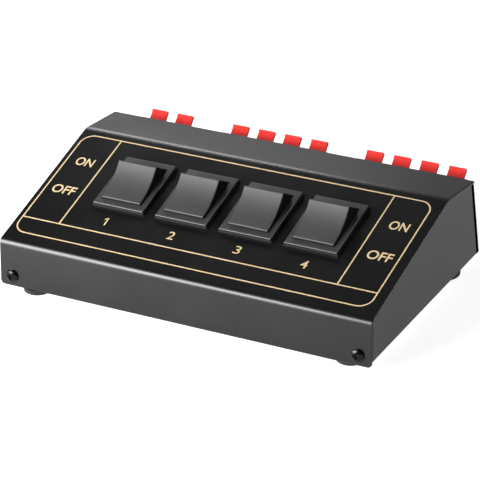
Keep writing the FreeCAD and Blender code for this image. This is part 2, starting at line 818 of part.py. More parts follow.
def make_switch_housing():
    body = new_body("housing_body")
    depth = size("housing_depth")
    lip = new_sketch(body, "lip", "XY_Plane")
    half_x = size("bezel_width") / 2 + size("bezel_lip")
    half_y = size("bezel_length") / 2 + size("bezel_lip")
    draw_rectangle(lip, -half_x, -half_y, half_x, half_y)
    pad(body, "bezel_lip", lip, size("bezel_lip_height"))
    bezel = new_sketch(body, "bezel", "XY_Plane")
    half_x = size("bezel_width") / 2
    half_y = size("bezel_length") / 2
    draw_rectangle(bezel, -half_x, -half_y, half_x, half_y)
    pad(body, "bezel_plate", bezel, size("bezel_height"))
    top = size("bezel_height").value
    dress(
        body, "Fillet", "bezel_edge", size("bezel_round"),
        lambda edge: edge.BoundBox.ZMin > top - 0.01,
    )
    box = new_sketch(body, "box", "XY_Plane")
    draw_rectangle(box, -housing_width / 2, -housing_length / 2, housing_width / 2, housing_length / 2)
    pad(body, "tub", box, depth, reverse=True)

    ears = new_sketch(body, "ears", "YZ_Plane")
    for side in (-1, 1):
        wall = side * (housing_length / 2 - size("cutout_gap"))
        tip = side * (housing_length / 2 + size("snap_reach"))
        draw_polygon(
            ears,
            [
                (wall, -sheet - gap),
                (tip, -sheet - gap),
                (tip, -sheet - gap - size("snap_reach")),
                (wall, -sheet - gap - 6 * size("snap_reach")),
            ],
        )
    pad(body, "snap_ears", ears, housing_width * 0.4, both_ways=True)

    cavity = new_sketch(body, "cavity", "XY_Plane", lift=size("bezel_height"))
    half_x = size("window_width") / 2
    half_y = size("window_length") / 2
    draw_rectangle(cavity, -half_x, -half_y, half_x, half_y)
    cavity_depth = size("bezel_height") + depth - size("housing_floor")
    pocket(body, "well", cavity, cavity_depth, both_ways=False)

    pivots = new_sketch(body, "pivots", "YZ_Plane")
    draw_circle(pivots, 0, -size("rocker_pivot"), size("pivot_radius") + size("pivot_fit"))
    pocket(body, "pivot_holes", pivots, size("case_width"))

    slots = new_sketch(body, "slots", "XY_Plane", lift=-depth)
    for pole in (-1, 1):
        x = pole * size("pole_spread") / 2
        for y in (Size.of(0), -size("throw_distance")):
            half_tab = size("tab_width") / 2 + size("tab_gap")
            half_thick = size("tab_thick") / 2 + size("tab_gap")
            draw_rectangle(slots, x - half_tab, y - half_thick, x + half_tab, y + half_thick)
    pocket(body, "tab_slots", slots, 4 * size("housing_floor"))
    return body


def make_rocker():
    """A rocker drawn level; its frame's origin is the pivot."""
    body = new_body("rocker_body")
    half = size("rocker_half")
    top = size("rocker_top")
    half_swing = size("rocker_swing") / 2
    # The end faces stand square to the panel when they are pressed down. Below them the skirts
    # follow a circle about the pivot, so that no gap opens under a raised end.
    skirt_half = half + size("rocker_skirt") * tangent(half_swing)
    skirt_low = top - size("rocker_skirt")
    hub = size("pivot_radius") * 2
    low = -size("pivot_radius") * 1.8
    width = size("window_width") - 2 * size("rocker_gap")

    def skirt_end(side, thickness):
        """The skirt's foot on one side, inset by a thickness."""
        share = 1 - thickness / skirt_half
        return [
            (side * skirt_half * share, skirt_low * share),
            (side * (skirt_half - thickness), Size.of(0)),
            (
                side * (skirt_half - thickness) * cosine(size("skirt_turn")),
                -(skirt_half - thickness) * sine(size("skirt_turn")),
            ),
        ]

    side = new_sketch(body, "side", "YZ_Plane")
    draw_polygon(
        side,
        [(-half, top), (half, top)]
        + skirt_end(1, Size.of(0))
        + [(hub, low), (-hub, low)]
        + skirt_end(-1, Size.of(0))[::-1],
    )
    pad(body, "solid", side, width, both_ways=True)

    dip = size("rocker_dip")
    hollow_radius = (half * half + dip * dip) / (2 * dip)
    hollow = new_sketch(body, "hollow", "YZ_Plane")
    draw_circle(hollow, 0, top - dip + hollow_radius, hollow_radius)
    pocket(body, "finger_hollow", hollow, 2 * width)
    lowest_top = (top - dip).value

    def top_edge(edge):
        box = edge.BoundBox
        end_edge = box.XLength > 1 and box.ZMin > top.value - 0.01
        side_edge = box.XLength < 0.01 and box.ZMin > lowest_top - 0.01
        return end_edge or side_edge

    dress(body, "Fillet", "soft_edges", size("rocker_round"), top_edge)

    skin = size("rocker_skin")
    roof = top - dip - skin
    inside = new_sketch(body, "inside", "YZ_Plane")
    inner_top = half - skin + skin * tangent(half_swing)
    below = -2 * skirt_half
    draw_polygon(
        inside,
        [(-inner_top, roof), (inner_top, roof)]
        + skirt_end(1, skin)
        + [(skirt_end(1, skin)[-1][0], below), (skirt_end(-1, skin)[-1][0], below)]
        + skirt_end(-1, skin)[::-1],
    )
    pocket(body, "underside", inside, width - 2 * skin)

    sleeve_foot = size("plunger_tip") - size("plunger_length") * 0.45
    sleeves = new_sketch(body, "sleeves", "XY_Plane", lift=-sleeve_foot)
    bore = size("plunger_radius") + size("screw_clearance")
    poles = [pole * size("pole_spread") / 2 for pole in (-1, 1)]
    for x in poles:
        draw_circle(sleeves, x, 0, bore + size("sleeve_wall"))
    pad(body, "sleeve_posts", sleeves, sleeve_foot + roof + skin / 2)
    bores = new_sketch(body, "bores", "XY_Plane", lift=-sleeve_foot)
    for x in poles:
        draw_circle(bores, x, 0, bore)
    bore_depth = size("plunger_length") * 0.55 + size("plunger_spring_length")
    pocket(body, "plunger_bores", bores, bore_depth, both_ways=False, reverse=True)

    pins = new_sketch(body, "pins", "YZ_Plane", lift=-housing_width / 2)
    draw_circle(pins, 0, 0, size("pivot_radius"))
    pad(body, "left_pin", pins, size("housing_wall") + size("rocker_gap") + skin / 2)
    pins = new_sketch(body, "pins_right", "YZ_Plane", lift=housing_width / 2)
    draw_circle(pins, 0, 0, size("pivot_radius"))
    pad(body, "right_pin", pins, size("housing_wall") + size("rocker_gap") + skin / 2, reverse=True)
    return body


def make_plungers(number, frame, masters):
    pin, spring = masters
    items = []
    for pole in (-1, 1):
        x = pole * size("pole_spread") / 2
        items.append((pin, place(x, 0, -size("plunger_tip"))))
        items.append((spring, place(x, 0, -size("plunger_tip") + size("plunger_length"))))
    node(f"spring_plungers_{number}", group(f"plunger_set_{number}", items), frame)


def make_plunger_masters():
    pin = new_body("plunger_body")
    radius = size("plunger_radius")
    profile = new_sketch(pin, "profile", "XZ_Plane")
    draw_polygon(
        profile,
        [
            (0, 0),
            (radius * 0.5, radius * 0.14),
            (radius * 0.87, radius * 0.5),
            (radius, radius),
            (radius, size("plunger_length")),
            (0, size("plunger_length")),
        ],
    )
    turn(pin, "shape", profile)
    spring = new_body("plunger_spring_body")
    ring = new_sketch(spring, "ring", "XY_Plane")
    draw_circle(ring, 0, 0, radius * 0.95)
    draw_circle(ring, 0, 0, radius * 0.6)
    pad(spring, "coil_space", ring, size("plunger_spring_length"))
    return pin, spring


def make_blade_master():
    """A see-saw blade with a contact button under its front end; the origin is its pivot."""
    body = new_body("blade_body")
    half = size("blade_thick") / 2
    strip = new_sketch(body, "strip", "XY_Plane", lift=-half)
    draw_rectangle(
        strip,
        -size("blade_width") / 2, -size("blade_length") / 2,
        size("blade_width") / 2, size("blade_length") / 2,
    )
    pad(body, "blade", strip, size("blade_thick"))
    button = new_sketch(body, "button", "XY_Plane", lift=-half)
    draw_circle(button, 0, -size("throw_distance"), size("button_radius"))
    pad(body, "contact_button", button, size("button_height"), reverse=True)
    return body


def make_blades(number, frame, blade):
    tilt = -size("blade_swing") / 2
    items = [
        (blade, place(pole * size("pole_spread") / 2, 0, 0)) for pole in (-1, 1)
    ]
    pivot = place(z=-size("blade_depth"), tilt=tilt)
    node(f"contact_blades_{number}", group(f"blade_set_{number}", items), frame * pivot)


def make_tab_masters():
    """Centre tab with a knife edge for the blade, and end tab with a fixed contact."""
    thick = size("tab_thick")
    bottom = -size("housing_depth") - size("tab_length")
    half_blade = size("blade_thick") / 2
    knife_top = -size("blade_depth") - half_blade - size("contact_gap")
    centre = new_body("centre_tab_body")
    flat = new_sketch(centre, "flat", "XZ_Plane")
    wide = size("tab_width") / 2
    draw_rectangle(flat, -wide, bottom, wide, knife_top)
    pad(centre, "tab", flat, thick, both_ways=True)

    end = new_body("end_tab_body")
    dip = size("throw_distance") * sine(size("blade_swing") / 2)
    closed = half_blade + size("button_height") + dip
    contact_top = -size("blade_depth") - closed - size("contact_gap")
    flat = new_sketch(end, "flat", "XZ_Plane")
    draw_rectangle(flat, -wide, bottom, wide, contact_top)
    pad(end, "tab", flat, thick, both_ways=True)
    for body in (centre, end):
        eye = new_sketch(body, "eye", "XZ_Plane")
        draw_circle(eye, 0, bottom + size("tab_length") * TAB_EYE_SHARE, thick)
        pocket(body, "solder_eye", eye, 4 * thick)
    return centre, end


def make_tabs(number, frame, masters):
    centre, end = masters
    items = []
    for pole in (-1, 1):
        x = pole * size("pole_spread") / 2
        items.append((centre, place(x)))
        items.append((end, place(x, -size("throw_distance"))))
    node(f"switch_tabs_{number}", group(f"tab_set_{number}", items), frame)


def make_switches():
    housing = make_switch_housing()
    rocker = make_rocker()
    plungers = make_plunger_masters()
    blade = make_blade_master()
    tabs = make_tab_masters()
    pressed_at_the_front = place(z=-size("rocker_pivot"), tilt=size("rocker_swing") / 2)
    for number, x in enumerate(SWITCH_XS, start=1):
        frame = PANEL * place(x, size("switch_centre"))
        repeat(f"switch_housing_{number}", housing, frame)
        repeat(f"rocker_{number}", rocker, frame * pressed_at_the_front)
        make_plungers(number, frame * pressed_at_the_front, plungers)
        make_blades(number, frame, blade)
        make_tabs(number, frame, tabs)


# ---- Terminal blocks ----------------------------------------------------------------------------
# A block's frame lies on the rear panel: y runs down it and z points out of it. Each cell is drawn
# for the lower row; the upper row is the same turned half round.

cell_half = size("lever_width") / 2 + size("cell_gap")


def column_xs(columns):
    return [(i - (columns - 1) / 2) * size("lever_pitch") for i in range(columns)]


def make_block(columns):
    body = new_body(f"block_body_{columns}")
    half = block_half(columns) - size("block_step") / 2
    ear_reach = block_half(columns) + size("block_ear")
    half_height = size("block_height") / 2
    back = size("block_back")
    ears = new_sketch(body, "ears", "XY_Plane")
    draw_rectangle(ears, -ear_reach, -half_height, ear_reach, half_height)
    pad(body, "ear_plate", ears, size("ear_thick"))
    dress(
        body, "Fillet", "ear_corners", size("ear_thick"),
        lambda edge: abs(edge.BoundBox.ZLength - size("ear_thick").value) < 0.01,
    )
    front = new_sketch(body, "front", "XY_Plane")
    draw_rectangle(front, -half, -half_height, half, half_height)
    pad(body, "front_body", front, size("block_front"))
    face = size("block_front")
    dress(
        body, "Fillet", "face_edges", size("block_round"),
        lambda edge: along_x(edge, half_height, face) or along_x(edge, -half_height, face),
    )
    rear = new_sketch(body, "rear", "XY_Plane")
    reach = size("block_back_half")
    draw_rectangle(rear, -half, -reach, half, reach)
    pad(body, "rear_body", rear, back, reverse=True)

    pivot_y = size("lever_pivot_up")
    pivot_z = size("lever_pivot_out")
    # The slot in the face has room for the paddle at both ends of its swing.
    released = pivot_y + (face - pivot_z) * tangent(size("lever_angle"))
    half_cut = size("lever_thick") / 2 / cosine(size("lever_angle"))
    slot_far = released + half_cut + size("cell_gap")
    slot_near = pivot_y - size("lever_thick") / 2
    leg_end = pivot_y - size("lever_leg") - size("cell_gap")
    inner_face = face - size("face_wall")
    cells = new_sketch(body, "cells", "YZ_Plane")
    for row in (-1, 1):
        draw_polygon(
            cells,
            [
                (row * leg_end, -2 * back),
                (row * leg_end, inner_face),
                (row * slot_near, inner_face),
                (row * slot_near, 2 * face),
                (row * slot_far, 2 * face),
                (row * slot_far, pivot_z - size("lever_thick") / 2),
                (row * (reach - size("face_wall") / 2), pivot_z - size("lever_thick") / 2),
                (row * (reach - size("face_wall") / 2), -2 * back),
            ],
        )
    for number, column in enumerate(column_xs(columns), start=1):
        if number > 1:
            cells = copy_sketch(body, cells, f"cells_{number}")
        bind(cells, "AttachmentOffset.Base.z", column)
        pocket(body, f"column_{number}", cells, 2 * cell_half)

    sockets = new_sketch(body, "sockets", "YZ_Plane")
    for row in (-1, 1):
        draw_circle(sockets, row * pivot_y, pivot_z, size("stub_radius") + size("pivot_fit"))
    socket_width = size("lever_width") + 2 * size("stub_length") + size("cell_gap")
    for number, column in enumerate(column_xs(columns), start=1):
        if number > 1:
            sockets = copy_sketch(body, sockets, f"sockets_{number}")
        bind(sockets, "AttachmentOffset.Base.z", column)
        pocket(body, f"stub_sockets_{number}", sockets, socket_width)

    wires = new_sketch(body, "wires", "XY_Plane", lift=face)
    leads = new_sketch(body, "leads", "XY_Plane", lift=face)
    for column in column_xs(columns):
        for row in (-1, 1):
            draw_circle(wires, column, row * size("wire_up"), size("wire_radius"))
            draw_circle(leads, column, row * size("wire_up"), size("wire_radius") + size("wire_lead_in"))
    pocket(body, "wire_entries", wires, 1.5 * size("face_wall"), both_ways=False)
    lead = pocket(body, "lead_ins", leads, size("wire_lead_in"), both_ways=False)
    lead.TaperAngle = -44.0
    ears_x = ear_reach - size("block_ear") / 2
    holes = new_sketch(body, "rivet_holes", "XY_Plane")
    for side in (-1, 1):
        draw_circle(holes, side * ears_x, 0, size("rivet_radius") + size("screw_clearance"))
    pocket(body, "rivet_holes_cut", holes, 6 * size("ear_thick"))
    return body


def copy_sketch(body, sketch, name):
    """A second sketch in the body with the same lines, points and expressions."""
    twin = new_sketch(body, name, "YZ_Plane")
    twin.addGeometry(sketch.Geometry, False)
    twin.addConstraint(sketch.Constraints)
    for path, expression in sketch.ExpressionEngine:
        if path.startswith("Constraints"):
            twin.setExpression(path, expression)
    return twin


GRIP_GROOVES = 3  # grip grooves across a paddle


def make_lever():
    """A paddle outside, an inner leg with a wire window, and two pivot stubs at the origin."""
    body = new_body("lever_body")
    angle = size("lever_angle")
    half = size("lever_thick") / 2
    reach = size("lever_reach")
    along = (sine(angle), cosine(angle))
    leg_front = size("leg_offset")
    leg_back = leg_front - size("leg_thick")
    leg_end = -size("lever_leg")

    def on_paddle(out, over):
        """The point out along the paddle and over its middle plane, on the thumb's side."""
        return (out * along[0] + over * along[1], out * along[1] - over * along[0])

    lip_top = half + size("lever_lip")
    lip_end = reach - size("lip_width")
    grip = [
        on_paddle(reach, lip_top),
        on_paddle(lip_end, lip_top),
        on_paddle(lip_end - size("lever_lip"), half),
    ]
    for groove in range(GRIP_GROOVES):
        out = lip_end - size("lever_lip") - (groove + 0.5) * size("grip_pitch")
        grip.append(on_paddle(out, half))
        grip.append(on_paddle(out - size("grip_depth"), half - size("grip_depth")))
        grip.append(on_paddle(out - 2 * size("grip_depth"), half))
    side = new_sketch(body, "side", "YZ_Plane")
    draw_polygon(
        side,
        grip[::-1] + [
            on_paddle(reach, -half),
            (leg_front * tangent(angle) - half / cosine(angle), leg_front),
            (leg_end, leg_front),
            (leg_end, leg_back),
            (leg_back * tangent(angle) + half / cosine(angle), leg_back),
        ],
    )
    pad(body, "plate", side, size("lever_width"), both_ways=True)
    tip_reach = reach.value - 0.1

    def tip_edge(edge):
        centre = edge.BoundBox.Center
        far_out = centre.y * along[0].value + centre.z * along[1].value > tip_reach
        return far_out

    dress(body, "Fillet", "soft_tip", half * 0.6, tip_edge)
    stubs = new_sketch(body, "stubs", "YZ_Plane")
    draw_circle(stubs, 0, 0, size("stub_radius"))
    pad(body, "pivot_stubs", stubs, size("lever_width") + 2 * size("stub_length"), both_ways=True)
    window = new_sketch(body, "window", "XY_Plane")
    wire = size("wire_radius")
    passage = -(size("lever_pivot_up") - size("wire_up"))
    draw_rectangle(window, -wire, passage - 1.1 * wire, wire, passage + 0.8 * wire)
    pocket(body, "wire_window", window, 6 * size("leg_thick"))
    return body


def make_clip_master():
    """A brass clip: a bar behind the lever's leg, a sprung tongue at its pivot, a solder tail."""
    body = new_body("clip_body")
    thick = size("clip_thick")
    front = -size("clip_depth")
    pivot_y = size("lever_pivot_up")
    low = pivot_y - size("lever_leg")
    tongue_y = pivot_y - size("lever_leg") * 0.25
    tail_y = size("wire_up") + size("wire_radius")
    tail_end = -size("block_back") - size("clip_tail")
    side = new_sketch(body, "side", "YZ_Plane")
    draw_polygon(
        side,
        [
            (low, front),
            (tongue_y - thick, front),
            (tongue_y, front + size("clip_depth") + thick * 0.8),
            (tongue_y + thick, front + size("clip_depth") + thick * 0.8),
            (tongue_y + thick, front - thick),
            (tail_y + thick, front - thick),
            (tail_y + thick, tail_end),
            (tail_y, tail_end),
            (tail_y, front - thick),
            (low, front - thick),
        ],
    )
    pad(body, "strip", side, size("clip_width"), both_ways=True)
    eye = new_sketch(body, "eye", "XZ_Plane")
    draw_circle(eye, 0, tail_end + size("clip_width") * 0.3, thick)
    pocket(body, "solder_eye", eye, size("case_width"))
    return body


def make_blocks():
    clip = make_clip_master()
    lever = make_lever()
    shells = {columns: make_block(columns) for columns in sorted({block[2] for block in BLOCKS})}
    half_round = FreeCAD.Placement(V(), FreeCAD.Rotation(Z_AXIS, 180))
    for name, x, columns in BLOCKS:
        repeat(f"terminal_block_{name}", shells[columns], REAR * place(x))
        clips = []
        for number, column in enumerate(column_xs(columns), start=1):
            for colour, row in (("red", half_round), ("black", place())):
                cell = place(column) * row
                clips.append((clip, cell))
                pivot = place(0, size("lever_pivot_up"), size("lever_pivot_out"))
                label = f"{colour}_lever_{name}_{number}"
                repeat(label, lever, REAR * place(x) * cell * pivot)
        node(f"contact_clips_{name}", group(f"clip_set_{name}", clips), REAR * place(x))


# ---- Inner wiring -----------------------------------------------------------------------------------
# Every switch makes and breaks the two live leads of its own output; the returns share one bus.

CORNER_SHARE = 0.45  # how much of the shorter run beside a corner its arc takes


def wire(points, radius):
    """A round wire: straight runs joined by tangent arcs, each as large as its runs allow."""
    edges = []
    start = points[0]
    for before, corner, after in zip(points, points[1:], points[2:]):
        coming = corner - before
        leaving = after - corner
        cut = CORNER_SHARE * min(coming.Length, leaving.Length)
        coming.normalize()
        leaving.normalize()
        half_turn = coming.getAngle(leaving) / 2
        bend = cut / math.tan(half_turn)
        entry = corner - coming * cut
        exit_point = corner + leaving * cut
        to_centre = (leaving - coming).normalize()
        middle = corner + to_centre * (bend / math.cos(half_turn) - bend)
        edges.append(Part.LineSegment(start, entry).toShape())
        edges.append(Part.Arc(entry, middle, exit_point).toShape())
        start = exit_point
    edges.append(Part.LineSegment(start, points[-1]).toShape())
    path = Part.Wire(edges)
    ring = Part.Wire([Part.Circle(points[0], points[1] - points[0], radius).toShape()])
    tube = path.makePipeShell([ring], True, False)
    expected = math.pi * radius ** 2 * path.Length
    if abs(tube.Volume - expected) > 0.01 * expected:
        raise RuntimeError("a wire's volume differs from its section times its length")
    return tube


def add_wires(label, tubes):
    wiring = DOC.addObject("Part::Feature", f"{label}_set")
    wiring.Shape = Part.makeCompound(tubes)
    node(label, wiring, place())


def tail_end(x, row):
    """Where a lead meets the end of a clip's tail; row is -1 for the upper row, 1 for the lower."""
    y = row * (size("wire_up") + size("wire_radius") + size("clip_thick") / 2)
    z = -(size("block_back") + size("clip_tail") + size("wire_gap"))
    return REAR * V(x.value, y.value, z.value)


def make_wiring():
    radius = size("lead_radius")
    off_tab = size("tab_thick") / 2 + size("wire_gap") + radius
    eye_depth = size("housing_depth") + size("tab_length") * (1 - TAB_EYE_SHARE)
    poles = [pole * size("pole_spread") / 2 for pole in (-1, 1)]
    floor = (size("foot_drop") + skirt + base_sheet + size("lead_height")).value
    rise = size("lead_rise").value
    run_out = V(0, size("lead_end").value, 0)

    tab_y = size("switch_centre") - size("throw_distance") - off_tab
    tab_spots = [
        PANEL * V((x + pole).value, tab_y.value, -eye_depth.value)
        for x in SWITCH_XS
        for pole in poles
    ]
    tail_xs = [x + column for _, x, columns in BLOCKS[1:] for column in column_xs(columns)]
    outputs = []
    for spot, x in zip(tab_spots, tail_xs):
        end = tail_end(x, -1)
        before_rise = V(end.x, end.y - run_out.y - rise, floor)
        path = [spot, V(spot.x, spot.y, floor), before_rise, end - run_out, end]
        outputs.append(wire(path, radius.value))
    add_wires("output_leads", outputs)

    # The two feeds run along the centre tabs, one on each side of them, out to the input block.
    _, input_x, columns = BLOCKS[0]
    feeds = []
    for side, pole, column in zip((-1, 1), poles, column_xs(columns)):
        y = (size("switch_centre") + side * off_tab).value
        far = PANEL * V((SWITCH_XS[-1] + pole).value, y, -eye_depth.value)
        near = PANEL * V((input_x + column).value, y, -eye_depth.value)
        end = tail_end(input_x + column, -1)
        feeds.append(wire([far, near, near + run_out, end - run_out, end], radius.value))
    add_wires("feed_leads", feeds)

    first = BLOCKS[0][1] + column_xs(BLOCKS[0][2])[0]
    last = BLOCKS[-1][1] + column_xs(BLOCKS[-1][2])[-1]
    below_tail = size("wire_up") + size("wire_radius") + size("clip_thick")
    bus_y = below_tail + size("wire_gap") + size("bus_radius")
    bus_z = -(size("block_back") + size("clip_tail") / 2)
    ends = [REAR * V(x.value, bus_y.value, bus_z.value) for x in (first, last)]
    add_wires("return_bus", [wire(ends, size("bus_radius").value)])


# ---- Build, check and write -----------------------------------------------------------------------


def check_document():
    DOC.recompute()
    for thing in DOC.Objects:
        if "Invalid" in thing.State or "Error" in thing.State:
            raise RuntimeError(f"{thing.Name} failed: {thing.State}")
        if thing.TypeId == "PartDesign::Pocket":
            if not thing.Shape.Volume < thing.BaseFeature.Shape.Volume:
                raise RuntimeError(f"{thing.Name} cuts nothing")
    for thing in NODES:
        if thing.Shape.isNull() or not thing.Shape.isValid():
            raise RuntimeError(f"{thing.Label} has no valid shape")
        if not thing.Shape.Solids:
            raise RuntimeError(f"{thing.Label} holds no solid")


def write_parts():
    os.makedirs("parts", exist_ok=True)
    for thing in NODES:
        thing.Shape.exportStep(os.path.join("parts", f"{thing.Label}.step"))


make_cover()
make_base_plate()
make_rear_panel()
make_feet()
make_screws()
make_rivets()
make_switches()
make_blocks()
make_wiring()
check_document()
write_parts()
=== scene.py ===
"""Looks of a four-way speaker selector switch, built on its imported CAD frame.

The frame's solids keep their shapes.  Each sub-assembly gives its nodes their worked finishes, the gold
frame and lettering are printed on the sloping panel, and the camera stands in a plain pale studio.
"""

import enum
import logging
import math
from dataclasses import dataclass, field

import bpy
from mathutils import Matrix, Vector


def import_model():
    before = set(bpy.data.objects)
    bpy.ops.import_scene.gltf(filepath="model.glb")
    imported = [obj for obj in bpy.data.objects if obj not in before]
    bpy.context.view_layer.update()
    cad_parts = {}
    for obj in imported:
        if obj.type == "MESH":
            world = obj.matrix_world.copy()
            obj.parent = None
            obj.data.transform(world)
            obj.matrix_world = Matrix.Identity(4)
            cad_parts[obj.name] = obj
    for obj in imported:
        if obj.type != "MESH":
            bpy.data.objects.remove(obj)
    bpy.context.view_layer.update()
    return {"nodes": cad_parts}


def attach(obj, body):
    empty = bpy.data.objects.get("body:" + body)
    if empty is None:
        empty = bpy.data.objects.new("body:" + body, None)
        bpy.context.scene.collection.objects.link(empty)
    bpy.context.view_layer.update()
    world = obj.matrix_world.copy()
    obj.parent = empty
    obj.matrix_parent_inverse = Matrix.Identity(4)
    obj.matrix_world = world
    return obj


LOG = logging.getLogger("speaker_selector")
MM = 0.001

Colour = tuple[float, float, float]
Direction = tuple[float, float, float]
Point = tuple[float, float]
Range = tuple[float, float]
Socket = bpy.types.NodeSocket

WHITE = (1.0, 1.0, 1.0, 1.0)

# Places of the colour sockets on a mix node, whose names repeat for each type of data.
MIX_SHARE, MIX_FIRST, MIX_SECOND, MIX_RESULT = 0, 6, 7, 2

# Length of one wave of the wave texture at a scale of 1.
WAVE_LENGTH = math.pi / 10.0

# Finer layers in the noise that varies the tone, the gloss and the grain of a finish.
TONE_LAYERS, GLOSS_LAYERS, GRAIN_LAYERS = 4.0, 5.0, 3.0

PANEL_SLOPE = 15.2
PANEL_OUT = (0.0, -math.sin(math.radians(PANEL_SLOPE)), math.cos(math.radians(PANEL_SLOPE)))


def grey(value: float) -> Colour:
    """A grey of one value."""
    return value, value, value


class Slot(enum.Enum):
    """Material slots that the frame's nodes carry."""

    CASE = "case_paint"
    STEEL = "base_steel"
    REAR = "rear_paint"
    FOOT = "foot_rubber"
    SCREW = "black_screws"
    RIVET = "rivet_metal"
    BEZEL = "bezel_plastic"
    ROCKER = "rocker_plastic"
    PLUNGER = "plunger_brass"
    BLADE = "blade_copper"
    TAB = "tab_brass"
    BLOCK = "block_plastic"
    CLIP = "clip_brass"
    RED = "red_plastic"
    BLACK = "black_plastic"
    LEAD = "lead_insulation"
    BUS = "bus_copper"


class NodeTools:
    """Adds and links the nodes of one tree."""

    def __init__(self, tree: bpy.types.NodeTree) -> None:
        """Take a tree.

        Args:
            tree: The material's or the world's node tree.
        """
        self.tree = tree

    def add(self, kind: str) -> bpy.types.Node:
        """Add one node.

        Args:
            kind: The node's Blender type.

        Returns:
            The new node.
        """
        return self.tree.nodes.new(kind)

    def join(self, source: Socket, target: Socket) -> None:
        """Link an output to an input."""
        self.tree.links.new(source, target)

    def combine(self, operation: str, first: Socket, second: float | Socket) -> Socket:
        """Combine two values.

        Args:
            operation: The math node's operation.
            first: An output.
            second: Another output, or a number.

        Returns:
            The result.
        """
        node = self.add("ShaderNodeMath")
        node.operation = operation
        self.join(first, node.inputs[0])
        if isinstance(second, float):
            node.inputs[1].default_value = second
        else:
            self.join(second, node.inputs[1])
        return node.outputs["Value"]

    def background(self, seen: float, mirrored: float | Socket) -> Socket:
        """Strength of a background that shows itself but lights no matt surface.

        Args:
            seen: Strength straight to the camera.
            mirrored: Strength in mirrored light and through glass.

        Returns:
            The strength for the ray at hand.
        """
        path = self.add("ShaderNodeLightPath")
        either = self.combine("MAXIMUM", path.outputs["Is Glossy Ray"], path.outputs["Is Transmission Ray"])
        straight = self.combine("MULTIPLY", path.outputs["Is Camera Ray"], seen)
        return self.combine("MAXIMUM", straight, self.combine("MULTIPLY", either, mirrored))


class NodeBoard(NodeTools):
    """The shader nodes of one material, laid out in the object's own coordinates."""

    def __init__(self, name: str) -> None:
        """Start a material that holds one principled shader.

        Args:
            name: The material's name.
        """
        self.material = bpy.data.materials.new(name)
        self.material.use_nodes = True
        super().__init__(self.material.node_tree)
        self.shader = self.tree.nodes["Principled BSDF"]
        self.place = self.add("ShaderNodeTexCoord").outputs["Object"]
        self.normal: Socket | None = None

    def fix(self, **values: float) -> None:
        """Set inputs of the shader that are the same all over.

        Args:
            **values: Input names with underscores for spaces, and their values.
        """
        for name, value in values.items():
            self.shader.inputs[name.replace("_", " ")].default_value = value

    def turned(self, turn: Direction, stretch: Direction) -> Socket:
        """Turn and stretch the object's coordinates.

        Args:
            turn: Rotation about x, y and z in radians.
            stretch: Scale along x, y and z.

        Returns:
            The changed coordinates.
        """
        mapping = self.add("ShaderNodeMapping")
        mapping.inputs["Rotation"].default_value = turn
        mapping.inputs["Scale"].default_value = stretch
        self.join(self.place, mapping.inputs["Vector"])
        return mapping.outputs["Vector"]

    def noise(self, cell: float, detail: float = 2.0, stretch: Direction = (1.0, 1.0, 1.0)) -> Socket:
        """Soft cloudy noise.

        Args:
            cell: Size of one cloud in millimetres.
            detail: Number of finer layers.
            stretch: Scale of the coordinates along x, y and z.

        Returns:
            A value around 0.5.
        """
        texture = self.add("ShaderNodeTexNoise")
        texture.inputs["Scale"].default_value = 1.0 / (cell * MM)
        texture.inputs["Detail"].default_value = detail
        self.join(self.turned((0.0, 0.0, 0.0), stretch), texture.inputs["Vector"])
        return texture.outputs["Fac"]

    def cells(self, cell: float) -> Socket:
        """Distance to the nearest of many scattered points.

        Args:
            cell: Mean spacing of the points in millimetres.

        Returns:
            A value from 0 at a point to about 1 between points.
        """
        texture = self.add("ShaderNodeTexVoronoi")
        texture.inputs["Scale"].default_value = 1.0 / (cell * MM)
        self.join(self.place, texture.inputs["Vector"])
        return texture.outputs["Distance"]

    def span(self, source: Socket, low: float, high: float,
             start: float = 0.35, stop: float = 0.65) -> Socket:
        """Map a value from one range to another, held at both ends.

        Args:
            source: The value.
            low: Result at and under start.
            high: Result at and over stop.
            start: Lower end of the source's range.
            stop: Upper end of the source's range.

        Returns:
            The mapped value.
        """
        ramp = self.add("ShaderNodeMapRange")
        ramp.inputs["From Min"].default_value = start
        ramp.inputs["From Max"].default_value = stop
        ramp.inputs["To Min"].default_value = low
        ramp.inputs["To Max"].default_value = high
        self.join(source, ramp.inputs["Value"])
        return ramp.outputs["Result"]

    def mix(self, share: Socket, first: Colour | Socket, second: Colour) -> Socket:
        """Blend two colours.

        Args:
            share: How much of the second colour shows, from 0 to 1.
            first: A colour or a colour output.
            second: The other colour.

        Returns:
            The blended colour.
        """
        node = self.add("ShaderNodeMix")
        node.data_type = "RGBA"
        self.join(share, node.inputs[MIX_SHARE])
        if isinstance(first, tuple):
            node.inputs[MIX_FIRST].default_value = (*first, 1.0)
        else:
            self.join(first, node.inputs[MIX_FIRST])
        node.inputs[MIX_SECOND].default_value = (*second, 1.0)
        return node.outputs[MIX_RESULT]

    def facing(self, direction: Direction) -> Socket:
        """How squarely each face looks along one of the object's own directions.

        Args:
            direction: The direction, of length 1.

        Returns:
            A value of 1 for a face that looks straight along it and 0 for one that looks aside.
        """
        look = self.add("ShaderNodeVectorMath")
        look.operation = "DOT_PRODUCT"
        self.join(self.add("ShaderNodeTexCoord").outputs["Normal"], look.inputs[0])
        look.inputs[1].default_value = direction
        return look.outputs["Value"]

    def relief(self, height: Socket, depth: float) -> None:
        """Add a layer of bumps to the surface.

        Args:
            height: The bumps' height from 0 to 1.
            depth: What a height of 1 stands for, in millimetres.
        """
        bump = self.add("ShaderNodeBump")
        bump.inputs["Distance"].default_value = depth * MM
        self.join(height, bump.inputs["Height"])
        if self.normal is not None:
            self.join(self.normal, bump.inputs["Normal"])
        self.normal = bump.outputs["Normal"]

    def close(self) -> bpy.types.Material:
        """Join the gathered bumps to the shader.

        Returns:
            The finished material.
        """
        if self.normal is not None:
            self.join(self.normal, self.shader.inputs["Normal"])
        return self.material


